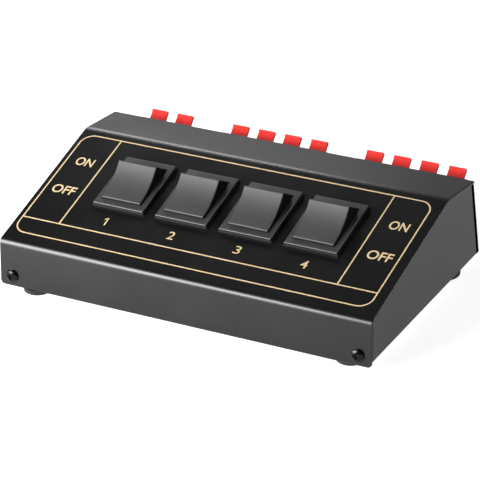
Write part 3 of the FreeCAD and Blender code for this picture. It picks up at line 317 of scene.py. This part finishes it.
@dataclass(frozen=True)
class Facing:
    """How a finish changes with the way that a face looks, and painted shade on faces that look aside.

    Attributes:
        outward: The direction, of length 1, that faces of the first kind look along.
        shine: Specular level of those faces.
        aside: Specular level of all others.
        turn: How squarely a face looks outward where the change starts and where it is complete.
        tone: Painted shade: a darker colour for the other faces, or None to keep the finish's own.
    """

    outward: Direction
    shine: float
    aside: float
    turn: Range = (0.2, 0.55)
    tone: Colour | None = None

    def apply(self, board: NodeBoard, tone: Socket) -> Socket:
        """Vary the shine and the colour.

        Args:
            board: The material's nodes.
            tone: Colour so far.

        Returns:
            The colour to use.
        """
        look = board.facing(self.outward)
        shine = board.span(look, self.aside, self.shine, *self.turn)
        board.join(shine, board.shader.inputs["Specular IOR Level"])
        if self.tone is None:
            return tone
        # Painted shade: faces that look aside are blended toward the darker colour.
        return board.mix(board.span(look, 1.0, 0.0, *self.turn), tone, self.tone)


@dataclass(frozen=True)
class Finish:
    """A surface with a cloudy tone, an uneven gloss and a fine grain.

    Attributes:
        name: The material's name.
        tone: Colour where the surface is darkest.
        pale: Colour where it is palest.
        gloss: Lowest and highest roughness.
        cloud: Size of the clouds of tone, in millimetres.
        grain: Size of the grain, in millimetres.
        depth: Depth of the grain, in millimetres.
        metal: 1 for bare metal, 0 for paint, rubber or plastic.
        gloss_cloud: Size of the clouds of gloss, as a share of those of tone.
        fixed: More inputs of the shader that are the same all over.
        facing: How the finish changes with the way that a face looks, if it does.
    """

    name: str
    tone: Colour
    pale: Colour
    gloss: Range
    cloud: float
    grain: float
    depth: float
    metal: float = 0.0
    gloss_cloud: float = 0.45
    fixed: tuple[tuple[str, float], ...] = ()
    facing: Facing | None = None

    def make(self) -> bpy.types.Material:
        """Build the material.

        Returns:
            The material.
        """
        board = NodeBoard(self.name)
        board.fix(Metallic=self.metal, **dict(self.fixed))
        tone = board.mix(board.span(board.noise(self.cloud, TONE_LAYERS), 0.0, 1.0), self.tone, self.pale)
        rough = board.span(board.noise(self.cloud * self.gloss_cloud, GLOSS_LAYERS), *self.gloss)
        board.relief(board.noise(self.grain, GRAIN_LAYERS), self.depth)
        tone, rough = self.detail(board, tone, rough)
        if self.facing is not None:
            tone = self.facing.apply(board, tone)
        board.join(tone, board.shader.inputs["Base Color"])
        board.join(rough, board.shader.inputs["Roughness"])
        return board.close()

    def detail(self, board: NodeBoard, tone: Socket, rough: Socket) -> tuple[Socket, Socket]:
        """Add what is special to one kind of surface.

        Args:
            board: The material's nodes.
            tone: Colour so far.
            rough: Roughness so far.

        Returns:
            The colour and roughness to use.
        """
        return tone, rough


@dataclass(frozen=True)
class Enamel(Finish):
    """Baked enamel on sheet steel, with a soft orange peel and a few specks of dust.

    Attributes:
        peel: Size of the orange peel's waves, in millimetres.
        peel_depth: Depth of the waves, in millimetres.
        dust: Colour of the dust.
        dust_share: How much of that colour a speck's core shows.
        dust_gap: Spacing of the specks, in millimetres.
        dust_size: Size of a speck's core and of its soft edge, as shares of the spacing.
    """

    peel: float = 1.6
    peel_depth: float = 0.0018
    dust: Colour = (0.016, 0.0155, 0.015)
    dust_share: float = 0.5
    dust_gap: float = 3.1
    dust_size: Range = (0.02, 0.05)

    def detail(self, board: NodeBoard, tone: Socket, rough: Socket) -> tuple[Socket, Socket]:
        """Add the orange peel and the dust.

        Args:
            board: The material's nodes.
            tone: Colour so far.
            rough: Roughness so far.

        Returns:
            The colour and roughness to use.
        """
        board.relief(board.noise(self.peel, detail=1.0), self.peel_depth)
        specks = board.span(board.cells(self.dust_gap), self.dust_share, 0.0, *self.dust_size)
        return board.mix(specks, tone, self.dust), rough


@dataclass(frozen=True)
class Moulding(Finish):
    """Moulded plastic or rubber with a spark-eroded skin: small scattered pits.

    Attributes:
        pit: Spacing of the pits, in millimetres.
        pit_depth: Depth of the pits, in millimetres.
    """

    pit: float = 0.3
    pit_depth: float = 0.006

    def detail(self, board: NodeBoard, tone: Socket, rough: Socket) -> tuple[Socket, Socket]:
        """Add the pits.

        Args:
            board: The material's nodes.
            tone: Colour so far.
            rough: Roughness so far.

        Returns:
            The colour and roughness to use.
        """
        board.relief(board.cells(self.pit), self.pit_depth)
        return tone, rough


@dataclass(frozen=True)
class GripMoulding(Moulding):
    """Plastic of a push lever, with fine grip grooves across its thumb end, darkened by painted shade.

    Attributes:
        tilt: Turn about x that lays the lever's length along z, in radians.
        groove: Spacing of the grooves, in millimetres.
        groove_depth: Depth of the grooves, in millimetres.
        groove_flank: Heights of the wave between which a groove's flank rises.
        groove_shade: How much painted shade darkens the grooves toward the darker tone.
    """

    tilt: float = 0.0
    groove: float = 1.1
    groove_depth: float = 0.12
    groove_flank: Range = (0.15, 0.6)
    groove_shade: float = 0.35

    def detail(self, board: NodeBoard, tone: Socket, rough: Socket) -> tuple[Socket, Socket]:
        """Add the grooves over the pits.

        Args:
            board: The material's nodes.
            tone: Colour so far.
            rough: Roughness so far.

        Returns:
            The colour and roughness to use.
        """
        tone, rough = super().detail(board, tone, rough)
        wave = board.add("ShaderNodeTexWave")
        wave.bands_direction = "Z"
        wave.inputs["Scale"].default_value = WAVE_LENGTH / (self.groove * MM)
        board.join(board.turned((self.tilt, 0.0, 0.0), (1.0, 1.0, 1.0)), wave.inputs["Vector"])
        ridge = board.span(wave.outputs["Fac"], 0.0, 1.0, *self.groove_flank)
        board.relief(ridge, self.groove_depth)
        # Painted shade: the grooves are blended toward the darker tone.
        shade = board.span(ridge, self.groove_shade, 0.0, 0.0, 1.0)
        return board.mix(shade, tone, self.tone), rough


@dataclass(frozen=True)
class SheetMetal(Finish):
    """Bare rolled or plated metal with fine lines along one axis.

    Attributes:
        drawn: Scale of the coordinates along x, y and z that draws the lines out.
        line_depth: Depth of the lines, in millimetres.
    """

    drawn: Direction = (0.03, 1.0, 1.0)
    line_depth: float = 0.003

    def detail(self, board: NodeBoard, tone: Socket, rough: Socket) -> tuple[Socket, Socket]:
        """Add the drawn lines.

        Args:
            board: The material's nodes.
            tone: Colour so far.
            rough: Roughness so far.

        Returns:
            The colour and roughness to use.
        """
        board.relief(board.noise(self.grain, stretch=self.drawn), self.line_depth)
        return tone, rough


@dataclass(frozen=True)
class PanelPlane:
    """The sloping panel's outer face: x runs along the case, s up the slope, h out of the face.

    Attributes:
        front: Distance of the lower fold from the case's middle, in millimetres.
        height: Height of the lower fold, in millimetres.
        slope: The slope in degrees.
    """

    front: float = -55.442
    height: float = 24.1
    slope: float = PANEL_SLOPE

    def matrix(self) -> Matrix:
        """Matrix from panel millimetres to world metres.

        Returns:
            A matrix whose columns are the directions of x, s and h.
        """
        angle = math.radians(self.slope)
        place = Matrix.Translation((0.0, self.front * MM, self.height * MM))
        return place @ Matrix.Rotation(angle, 4, "X") @ Matrix.Scale(MM, 4)


@dataclass
class MeshSheet:
    """Flat outlines that become thin closed prisms in one mesh.

    Attributes:
        name: The piece's name.
        thickness: Thickness of the prisms, in millimetres.
        points: The mesh's points, in millimetres.
        faces: The mesh's faces, as numbers of points.
    """

    name: str
    thickness: float
    points: list[Direction] = field(default_factory=list)
    faces: list[tuple[int, ...]] = field(default_factory=list)

    def strip(self, left: list[Point], right: list[Point], closed: bool = False) -> None:
        """Add a strip between two rows of points.

        Args:
            left: Points along one side.
            right: Points along the other side, as many.
            closed: Whether the strip returns to its start.
        """
        start = len(self.points)
        for a, b in zip(left, right):
            self.points += [(*a, 0.0), (*b, 0.0), (*a, self.thickness), (*b, self.thickness)]
        count = len(left)
        for i in range(count if closed else count - 1):
            a, b = start + 4 * i, start + 4 * ((i + 1) % count)
            self.faces += [(a + 2, b + 2, b + 3, a + 3), (a, a + 1, b + 1, b)]
            self.faces += [(a, b, b + 2, a + 2), (a + 1, a + 3, b + 3, b + 1)]
        if not closed:
            a, b = start, start + 4 * (count - 1)
            self.faces += [(a, a + 2, a + 3, a + 1), (b, b + 1, b + 3, b + 2)]

    def build(self, matrix: Matrix) -> bpy.types.Object:
        """Make the object.

        Args:
            matrix: From the sheet's millimetres to world metres.

        Returns:
            The object, with its mesh in world metres.
        """
        mesh = bpy.data.meshes.new(self.name)
        mesh.from_pydata([matrix @ Vector(p) for p in self.points], [], self.faces)
        mesh.update()
        piece = bpy.data.objects.new(self.name, mesh)
        bpy.context.scene.collection.objects.link(piece)
        return piece


GOLD_INK = Finish(
    "gold_ink", tone=(0.69, 0.52, 0.28), pale=(0.80, 0.63, 0.38), gloss=(0.38, 0.52), cloud=6.0, grain=0.15,
    depth=0.004,
)


@dataclass(frozen=True)
class FigureOne:
    """A printed 1: an upright stem with a short flag to its left.

    Attributes:
        half_stem: Half the stem's width.
        flag_reach: How far the flag's tip stands out from the stem.
        flag_drop: How far the tip hangs below the stem's top.
        flag_tip: The flag's height at its tip.
        flag_root: Its height at the stem.
    """

    half_stem: float = 0.33
    flag_reach: float = 1.15
    flag_drop: float = 0.85
    flag_tip: float = 0.65
    flag_root: float = 0.8

    def draw(self, sheet: MeshSheet, x: float, foot: float, top: float) -> None:
        """Add the figure to a sheet.

        Args:
            sheet: The mesh to add to.
            x: The stem's middle.
            foot: The stem's lower end.
            top: The stem's upper end.
        """
        edge, tip_top = x - self.half_stem, top - self.flag_drop
        tip = edge - self.flag_reach
        sheet.strip([(edge, foot), (edge, top)], [(x + self.half_stem, foot), (x + self.half_stem, top)])
        under_flag = [(tip, tip_top - self.flag_tip), (edge, top - self.flag_root)]
        sheet.strip([(tip, tip_top), (edge, top)], under_flag)


@dataclass
class PanelPrint:
    """Gold screen print on the panel: a ruled frame with a title band left bare, ON, OFF and 1 to 4.

    Attributes:
        plane: The panel.
        middle: x of the frame's middle.
        half_width: From the middle to the outer lines.
        top: s of the top line.
        inner: s of the line over the title band.
        bottom: s of the lowest line.
        divider: From the middle to the dividing lines.
        corner: Radius of the frame's corners.
        corner_steps: Straight pieces in each corner.
        line: Width of the lines.
        ink: Thickness of the ink.
        on_row: s of the middle of ON.
        off_row: s of the middle of OFF.
        words: Each end's name and the x of its words' middle.
        on_size: Width and height of ON.
        off_size: Width and height of OFF.
        word_weight: How much the words' strokes are widened, as a share of the font's size.
        number_foot: s of the numbers' feet.
        number_height: Height of the numbers.
        one: The figure 1.
        one_middle: x of the middle of its stem.
        numbers: Each other number with the x of its middle and its width.
        number_weight: How much the numbers' strokes are widened, as a share of the font's size.
    """

    plane: PanelPlane = field(default_factory=PanelPlane)
    middle: float = -1.32
    half_width: float = 88.5
    top: float = 74.06
    inner: float = 16.4
    bottom: float = 6.97
    divider: float = 69.45
    corner: float = 6.0
    corner_steps: int = 12
    line: float = 0.66
    ink: float = 0.02
    on_row: float = 56.55
    off_row: float = 37.25
    words: tuple[tuple[str, float], ...] = (("left", -80.3), ("right", 78.4))
    on_size: Point = (9.1, 5.3)
    off_size: Point = (11.9, 5.4)
    word_weight: float = 0.015
    number_foot: float = 21.15
    number_height: float = 4.8
    one: FigureOne = field(default_factory=FigureOne)
    one_middle: float = -50.1
    numbers: tuple[tuple[int, float, float], ...] = ((2, -16.85, 3.2), (3, 16.25, 3.2), (4, 48.95, 3.3))
    number_weight: float = 0.004

    def rounded(self, inset: float) -> list[Point]:
        """Points round the frame.

        Args:
            inset: Distance inside the middle of the outer line's width.

        Returns:
            The points, going round once.
        """
        radius = self.corner - inset
        reach = self.half_width - self.corner
        low, high = self.bottom + self.corner, self.top - self.corner
        corners = ((reach, high, 0.0), (-reach, high, 90.0), (-reach, low, 180.0), (reach, low, 270.0))
        points = []
        for x, s, start in corners:
            for step in range(self.corner_steps + 1):
                angle = math.radians(start + 90.0 * step / self.corner_steps)
                points.append((self.middle + x + radius * math.cos(angle), s + radius * math.sin(angle)))
        return points

    def rule(self, sheet: MeshSheet, start: Point, end: Point) -> None:
        """Add a straight line of the print.

        Args:
            sheet: The mesh to add to.
            start: One end, (x, s).
            end: The other end.
        """
        along = Vector((end[0] - start[0], end[1] - start[1])).normalized()
        side = Vector((-along.y, along.x)) * self.line / 2
        left = [(p[0] + side.x, p[1] + side.y) for p in (start, end)]
        right = [(p[0] - side.x, p[1] - side.y) for p in (start, end)]
        sheet.strip(left, right)

    def frame_lines(self) -> bpy.types.Object:
        """Build the ruled frame.

        Returns:
            The frame's object.
        """
        sheet = MeshSheet("print_frame", self.ink)
        half = self.line / 2
        sheet.strip(self.rounded(-half), self.rounded(half), closed=True)
        reach = self.half_width - half
        self.rule(sheet, (self.middle - reach, self.inner), (self.middle + reach, self.inner))
        for side in (-1, 1):
            x = self.middle + side * self.divider
            self.rule(sheet, (x, self.inner + half), (x, self.top - half))
        return sheet.build(self.plane.matrix())

    def word(self, name: str, text: str, middle: Point, size: Point, weight: float) -> bpy.types.Object:
        """Print one word.

        Args:
            name: The piece's name.
            text: The letters or number.
            middle: Where the word's middle is along and up the panel, in millimetres.
            size: Its width and height, in millimetres.
            weight: How much the strokes are widened, as a share of the font's size.

        Returns:
            The word's object.
        """
        curve = bpy.data.curves.new(name, "FONT")
        curve.body = text
        curve.offset = weight
        letters = bpy.data.objects.new(name, curve)
        bpy.context.scene.collection.objects.link(letters)
        bpy.context.view_layer.update()
        graph = bpy.context.evaluated_depsgraph_get()
        mesh = bpy.data.meshes.new_from_object(letters.evaluated_get(graph))
        bpy.data.objects.remove(letters)
        xs = [corner.co.x for corner in mesh.vertices]
        ys = [corner.co.y for corner in mesh.vertices]
        centre = Matrix.Translation((-(min(xs) + max(xs)) / 2, -(min(ys) + max(ys)) / 2, 0.0))
        width, height = max(xs) - min(xs), max(ys) - min(ys)
        stretch = Matrix.Diagonal((size[0] / width, size[1] / height, 1.0, 1.0))
        place = Matrix.Translation((*middle, self.ink))
        mesh.transform(self.plane.matrix() @ place @ stretch @ centre)
        piece = bpy.data.objects.new(name, mesh)
        bpy.context.scene.collection.objects.link(piece)
        return piece

    def lettering(self) -> list[bpy.types.Object]:
        """Print ON and OFF at both ends and the numbers below the switches.

        Returns:
            The words' objects.
        """
        printed = []
        for side, x in self.words:
            for text, row, size in (("ON", self.on_row, self.on_size), ("OFF", self.off_row, self.off_size)):
                name = f"print_{text.lower()}_{side}"
                printed.append(self.word(name, text, (x, row), size, self.word_weight))
        row = self.number_foot + self.number_height / 2
        for number, x, width in self.numbers:
            size = (width, self.number_height)
            printed.append(self.word(f"print_{number}", str(number), (x, row), size, self.number_weight))
        sheet = MeshSheet("print_1", self.ink)
        self.one.draw(sheet, self.one_middle, self.number_foot, self.number_foot + self.number_height)
        return [sheet.build(self.plane.matrix()), *printed]

    def build(self) -> list[bpy.types.Object]:
        """Build the whole print and dress it.

        Returns:
            The print's pieces.
        """
        gold = GOLD_INK.make()
        pieces = [self.frame_lines(), *self.lettering()]
        for piece in pieces:
            piece.data.materials.clear()
            piece.data.materials.append(gold)
            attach(piece, "case")
            LOG.info("printed %s", piece.name)
        return pieces


@dataclass
class FrameGroup:
    """A sub-assembly: some of the frame's own nodes, and the finishes of their material slots.

    Attributes:
        title: What the group is called in the log.
        prefixes: How its nodes' names start.
    """

    title: str
    prefixes: tuple[str, ...]

    def finishes(self) -> dict[Slot, Finish]:
        """Finishes by slot that the group brings; none by default."""
        return {}

    def dress(self, nodes: dict[str, bpy.types.Object], made: dict[str, bpy.types.Material]) -> None:
        """Give each node of the group its finish.

        Args:
            nodes: The frame's nodes by name.
            made: The materials by slot name.
        """
        for name in sorted(nodes):
            if not name.startswith(self.prefixes):
                continue
            for place in nodes[name].material_slots:
                # A second material of the same name ends in a point and a number.
                slot = place.material.name.split(".")[0]
                place.material = made[slot]
            LOG.info("dressed %s as part of the %s", name, self.title)


@dataclass
class Enclosure(FrameGroup):
    """Cover, bottom plate, rear pan, feet and screws."""

    title: str = "enclosure"
    prefixes: tuple[str, ...] = ("cover", "base_plate", "rear_", "rubber_feet", "foot_screws")

    def finishes(self) -> dict[Slot, Finish]:
        """Finishes of the painted and bare steel, the rubber and the black screws.

        Returns:
            The finishes by slot.
        """
        printed_panel = Facing(PANEL_OUT, shine=0.32, aside=0.5, turn=(0.97, 0.995))
        # Painted shade: faces of the rear pan that look aside, such as its rim, turn darker and lose their
        # shine.
        pan_painted_rim_shade = Facing((0.0, 1.0, 0.0), shine=0.3, aside=0.0, turn=(0.3, 0.7), tone=grey(0.0015))
        screw_shine = (("Specular_IOR_Level", 0.12), ("Coat_Weight", 0.25), ("Coat_Roughness", 0.06))
        return {
            Slot.CASE: Enamel(
                "case_enamel", tone=(0.0065, 0.0065, 0.0067), pale=grey(0.0085), gloss=(0.27, 0.31),
                cloud=38.0, grain=0.35, depth=0.0018, facing=printed_panel,
            ),
            Slot.REAR: Enamel(
                "rear_enamel", tone=grey(0.003), pale=grey(0.005), gloss=(0.48, 0.56), cloud=26.0,
                grain=0.5, depth=0.004, facing=pan_painted_rim_shade,
            ),
            Slot.STEEL: SheetMetal(
                "base_plate_zinc", tone=(0.42, 0.43, 0.45), pale=(0.56, 0.57, 0.58), gloss=(0.32, 0.48),
                cloud=9.0, grain=0.4, depth=0.002, metal=1.0,
            ),
            Slot.FOOT: Moulding(
                "foot_rubber_matt", tone=grey(0.010), pale=(0.022, 0.021, 0.020), gloss=(0.62, 0.78),
                cloud=4.0, grain=0.5, depth=0.012,
            ),
            Slot.SCREW: SheetMetal(
                "screw_black_zinc", tone=grey(0.003), pale=grey(0.006), gloss=(0.12, 0.18), cloud=1.5,
                grain=0.25, depth=0.002, fixed=screw_shine,
            ),
        }


@dataclass
class SwitchRow(FrameGroup):
    """The four rocker switches with their works.

    Attributes:
        outward: Mean direction that the rockers' broad faces look along at rest.
        flank: Painted shade: the near-black colour of the faces that look aside.
    """

    title: str = "switch row"
    prefixes: tuple[str, ...] = ("switch_", "rocker_", "spring_plungers", "contact_blades")
    outward: Direction = (0.0, -0.552, 0.834)
    # Painted shade: near-black for the mouldings' faces that look aside.
    flank: Colour = grey(0.004)

    def finishes(self) -> dict[Slot, Finish]:
        """Finishes of the black mouldings, with painted shade that deepens their black on their flanks, and
        of the metal inside.

        Returns:
            The finishes by slot.
        """
        return {
            # Bezels and rockers take painted shade on the faces that look aside.
            Slot.BEZEL: Moulding(
                "bezel_nylon", tone=grey(0.038), pale=grey(0.044), gloss=(0.42, 0.46), cloud=7.0, grain=0.4,
                depth=0.002, facing=Facing(self.outward, shine=0.8, aside=0.1, tone=self.flank),
                pit=0.35, pit_depth=0.003,
            ),
            Slot.ROCKER: Moulding(
                "rocker_nylon", tone=(0.036, 0.036, 0.037), pale=(0.040, 0.040, 0.041), gloss=(0.56, 0.60),
                cloud=9.0, grain=0.5, depth=0.003,
                facing=Facing(self.outward, shine=0.9, aside=0.1, tone=self.flank), pit=0.28,
            ),
            Slot.PLUNGER: SheetMetal(
                "plunger_brass_turned", tone=(0.60, 0.43, 0.17), pale=(0.72, 0.54, 0.24),
                gloss=(0.22, 0.34), cloud=1.5, grain=0.2, depth=0.002, metal=1.0, drawn=(1.0, 1.0, 0.05),
            ),
            Slot.BLADE: SheetMetal(
                "blade_copper_rolled", tone=(0.66, 0.36, 0.24), pale=(0.78, 0.47, 0.32), gloss=(0.25, 0.40),
                cloud=2.5, grain=0.25, depth=0.002, metal=1.0,
            ),
            Slot.TAB: SheetMetal(
                "tab_brass_rolled", tone=(0.58, 0.43, 0.18), pale=(0.70, 0.54, 0.26), gloss=(0.26, 0.42),
                cloud=3.0, grain=0.25, depth=0.002, metal=1.0, drawn=(1.0, 1.0, 0.04),
            ),
        }


@dataclass
class TerminalRow(FrameGroup):
    """The push terminals: blocks, rivets, clips and levers.

    Attributes:
        lever_tilt: How far a lever's thumb end leans from upright, in degrees.
    """

    title: str = "terminal row"
    prefixes: tuple[str, ...] = (
        "terminal_block", "block_rivets", "contact_clips", "red_lever", "black_lever",
    )
    lever_tilt: float = 38.6

    def finishes(self) -> dict[Slot, Finish]:
        """Finishes of the blocks, the grooved levers, the rivets and the sprung clips.

        Returns:
            The finishes by slot.
        """
        return {
            Slot.BLOCK: Moulding(
                "terminal_block_nylon", tone=grey(0.013), pale=grey(0.021), gloss=(0.36, 0.46), cloud=6.0,
                grain=0.4, depth=0.003,
            ),
            Slot.RIVET: SheetMetal(
                "rivet_aluminium", tone=grey(0.58), pale=grey(0.70), gloss=(0.25, 0.38), cloud=1.2,
                grain=0.2, depth=0.003, metal=1.0,
            ),
            Slot.CLIP: SheetMetal(
                "clip_brass_sprung", tone=(0.60, 0.46, 0.22), pale=(0.72, 0.58, 0.32), gloss=(0.24, 0.38),
                cloud=2.5, grain=0.25, depth=0.002, metal=1.0,
            ),
            Slot.RED: GripMoulding(
                "lever_red_nylon", tone=(0.80, 0.036, 0.030), pale=(0.88, 0.046, 0.038), gloss=(0.50, 0.58),
                cloud=3.0, grain=0.3, depth=0.003, fixed=(("Specular_IOR_Level", 0.25),), pit_depth=0.003,
                tilt=math.radians(-self.lever_tilt), groove=0.95, groove_depth=0.02,
            ),
            Slot.BLACK: GripMoulding(
                "lever_black_nylon", tone=grey(0.012), pale=grey(0.020), gloss=(0.34, 0.44), cloud=3.0,
                grain=0.3, depth=0.003, pit_depth=0.003, tilt=math.radians(self.lever_tilt),
            ),
        }


@dataclass
class Wiring(FrameGroup):
    """The leads inside the case."""

    title: str = "wiring"
    prefixes: tuple[str, ...] = ("output_leads", "feed_leads", "return_bus")

    def finishes(self) -> dict[Slot, Finish]:
        """Finishes of the leads' sleeving and the tinned bus wire.

        Returns:
            The finishes by slot.
        """
        return {
            Slot.LEAD: Moulding(
                "lead_sleeving", tone=(0.018, 0.018, 0.019), pale=(0.028, 0.028, 0.029), gloss=(0.38, 0.50),
                cloud=5.0, grain=0.4, depth=0.004,
            ),
            Slot.BUS: SheetMetal(
                "bus_wire_tinned", tone=(0.58, 0.54, 0.48), pale=(0.70, 0.66, 0.60), gloss=(0.22, 0.36),
                cloud=3.0, grain=0.2, depth=0.002, metal=1.0,
            ),
        }


@dataclass(frozen=True)
class Viewpoint:
    """The camera.

    Attributes:
        azimuth: Turn round the object from straight in front, in degrees.
        elevation: Height over the horizon, in degrees.
        roll: Turn about the line of sight, in degrees.
        distance: From the aim to the camera, in metres.
        aim: The point in the view's middle, before the offset.
        offset: Shift of the camera along its own right and up, in metres.
        lens: Focal length in millimetres.
        film: Width of the frame in millimetres.
        near: Where the view starts, in metres.
    """

    azimuth: float = 31.14
    elevation: float = 28.34
    roll: float = -3.94
    distance: float = 1.21926
    aim: Direction = (0.0, -0.005442, 0.023)
    offset: Point = (0.00123, -0.00447)
    lens: float = 207.14
    film: float = 36.0
    near: float = 0.05

    def build(self) -> bpy.types.Object:
        """Set the camera up and make it the scene's.

        Returns:
            The camera.
        """
        turn, rise, roll = (math.radians(a) for a in (self.azimuth, self.elevation, self.roll))
        level = math.cos(rise)
        back = Vector((math.sin(turn) * level, -math.cos(turn) * level, math.sin(rise)))
        right = Vector((math.cos(turn), math.sin(turn), 0.0))
        up = back.cross(right)
        place = Vector(self.aim) + back * self.distance + right * self.offset[0] + up * self.offset[1]
        across = right * math.cos(roll) + up * math.sin(roll)
        above = up * math.cos(roll) - right * math.sin(roll)
        data = bpy.data.cameras.new("camera")
        data.lens = self.lens
        data.sensor_width = self.film
        data.clip_start = self.near
        camera = bpy.data.objects.new("camera", data)
        facing = Matrix((across, above, back)).transposed().to_4x4()
        camera.matrix_world = Matrix.Translation(place) @ facing
        bpy.context.scene.collection.objects.link(camera)
        bpy.context.scene.camera = camera
        return camera


@dataclass(frozen=True)
class SoftLamp:
    """One square soft box that faces the object.

    Attributes:
        name: The lamp's name.
        direction: From the object towards the lamp.
        distance: Its distance in metres.
        size: Width and height in metres.
        power: Power in watts.
    """

    name: str
    direction: Direction
    distance: float
    size: Point
    power: float

    def build(self) -> bpy.types.Object:
        """Hang the lamp.

        Returns:
            The lamp.
        """
        data = bpy.data.lights.new(self.name, "AREA")
        data.shape = "RECTANGLE"
        data.size, data.size_y = self.size
        data.energy = self.power
        lamp = bpy.data.objects.new(self.name, data)
        away = Vector(self.direction).normalized()
        lamp.location = away * self.distance
        lamp.visible_camera = False
        lamp.rotation_euler = away.to_track_quat("Z", "Y").to_euler()
        bpy.context.scene.collection.objects.link(lamp)
        return lamp


@dataclass
class Studio:
    """A pale floor, a pale surround that darkens overhead, and the soft lamps.

    Attributes:
        floor_reach: Half the floor's width in metres.
        floor_squares: Squares along each side of the floor.
        floor_seen: The floor's own light to the camera, which keeps its shadows pale.
        floor_glow: The floor's own light in mirrored light.
        floor_tone: The floor's colour.
        floor_paler: How much paler its palest clouds are.
        floor_cloud: Size of those clouds in millimetres.
        floor_rough: The floor's roughness.
        surround_seen: The surround's light to the camera, where 1 is white.
        horizon: The surround's strength in mirrored light at the horizon.
        overhead: Its strength in mirrored light from dark_from upwards.
        dark_from: Sine of the elevation where the surround is darkest.
        lamps: The lamps.
    """

    floor_reach: float = 6.0
    floor_squares: int = 8
    floor_seen: float = 0.8
    floor_glow: float = 0.5
    floor_tone: float = 0.6
    floor_paler: float = 1.01
    floor_cloud: float = 60.0
    floor_rough: float = 0.9
    surround_seen: float = 1.0
    horizon: float = 1.0
    overhead: float = 0.0
    dark_from: float = 0.36
    lamps: tuple[SoftLamp, ...] = (
        SoftLamp("key_box", (-0.50, -0.74, 0.40), 0.7, (0.35, 0.30), 4.6),
        SoftLamp("wide_box", (-0.52, -0.74, 0.42), 0.9, (0.70, 0.60), 6.6),
        SoftLamp("low_box", (-0.62, -0.77, 0.15), 0.5, (0.20, 0.20), 0.9),
        SoftLamp("ridge_box", (-0.455, 0.68, 0.57), 0.7, (0.15, 0.08), 0.38),
        SoftLamp("corner_box", (-0.60, 0.60, 0.53), 0.5, (0.12, 0.08), 0.15),
        SoftLamp("back_box", (-0.50, 0.72, 0.45), 0.7, (0.35, 0.15), 0.20),
        SoftLamp("edge_box", (0.65, 0.46, 0.60), 1.0, (0.30, 0.20), 2.8),
    )

    def floor(self) -> bpy.types.Object:
        """Lay the floor.

        Returns:
            The floor.
        """
        reach, count = self.floor_reach, self.floor_squares
        steps = [-reach + 2 * reach * i / count for i in range(count + 1)]
        points = [(x, y, 0.0) for y in steps for x in steps]
        row = count + 1
        faces = [(j * row + i, j * row + i + 1, (j + 1) * row + i + 1, (j + 1) * row + i)
                 for j in range(count) for i in range(count)]
        mesh = bpy.data.meshes.new("studio_floor")
        mesh.from_pydata(points, [], faces)
        floor = bpy.data.objects.new("studio_floor", mesh)
        bpy.context.scene.collection.objects.link(floor)
        mesh.materials.append(self.floor_paper())
        return floor

    def floor_paper(self) -> bpy.types.Material:
        """Build the floor's matt paper, whose shadows stay pale to the camera and in mirrored light.

        Returns:
            The material.
        """
        board = NodeBoard("floor_paper")
        board.fix(Roughness=self.floor_rough, Specular_IOR_Level=0.0)
        board.shader.inputs["Emission Color"].default_value = WHITE
        glow = board.background(self.floor_seen, self.floor_glow)
        board.join(glow, board.shader.inputs["Emission Strength"])
        pale, paler = grey(self.floor_tone), grey(self.floor_tone * self.floor_paler)
        clouds = board.mix(board.noise(self.floor_cloud), pale, paler)
        board.join(clouds, board.shader.inputs["Base Color"])
        return board.close()

    def surround(self) -> None:
        """Make the world: white to the camera, white low down in mirrored light, and no light else."""
        world = bpy.data.worlds.new("surround")
        bpy.context.scene.world = world
        world.use_nodes = True
        sheet = NodeTools(world.node_tree)
        split = sheet.add("ShaderNodeSeparateXYZ")
        sheet.join(sheet.add("ShaderNodeTexCoord").outputs["Generated"], split.inputs["Vector"])
        fade = sheet.add("ShaderNodeMapRange")
        fade.interpolation_type = "SMOOTHSTEP"
        fade.inputs["From Max"].default_value = self.dark_from
        fade.inputs["To Min"].default_value = self.horizon
        fade.inputs["To Max"].default_value = self.overhead
        sheet.join(split.outputs["Z"], fade.inputs["Value"])
        background = world.node_tree.nodes["Background"]
        background.inputs["Color"].default_value = WHITE
        strength = sheet.background(self.surround_seen, fade.outputs["Result"])
        sheet.join(strength, background.inputs["Strength"])

    def build(self) -> None:
        """Build the floor, the surround and the lamps."""
        self.floor()
        self.surround()
        for lamp in self.lamps:
            lamp.build()
            LOG.info("hung %s", lamp.name)


def corners(box: tuple[Vector, Vector]) -> list[list[float]]:
    """Plain lists of a box's two corners."""
    return [list(corner) for corner in box]


def main() -> None:
    """Build the whole scene."""
    logging.basicConfig(level=logging.INFO, format="%(name)s: %(message)s")
    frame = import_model()
    groups = (Enclosure(), SwitchRow(), TerminalRow(), Wiring())
    made = {slot.value: finish.make() for group in groups for slot, finish in group.finishes().items()}
    for group in groups:
        group.dress(frame["nodes"], made)
    PanelPrint().build()
    Viewpoint().build()
    Studio().build()
    bpy.context.scene.view_settings.view_transform = "Standard"


if __name__ == "__main__":
    main()
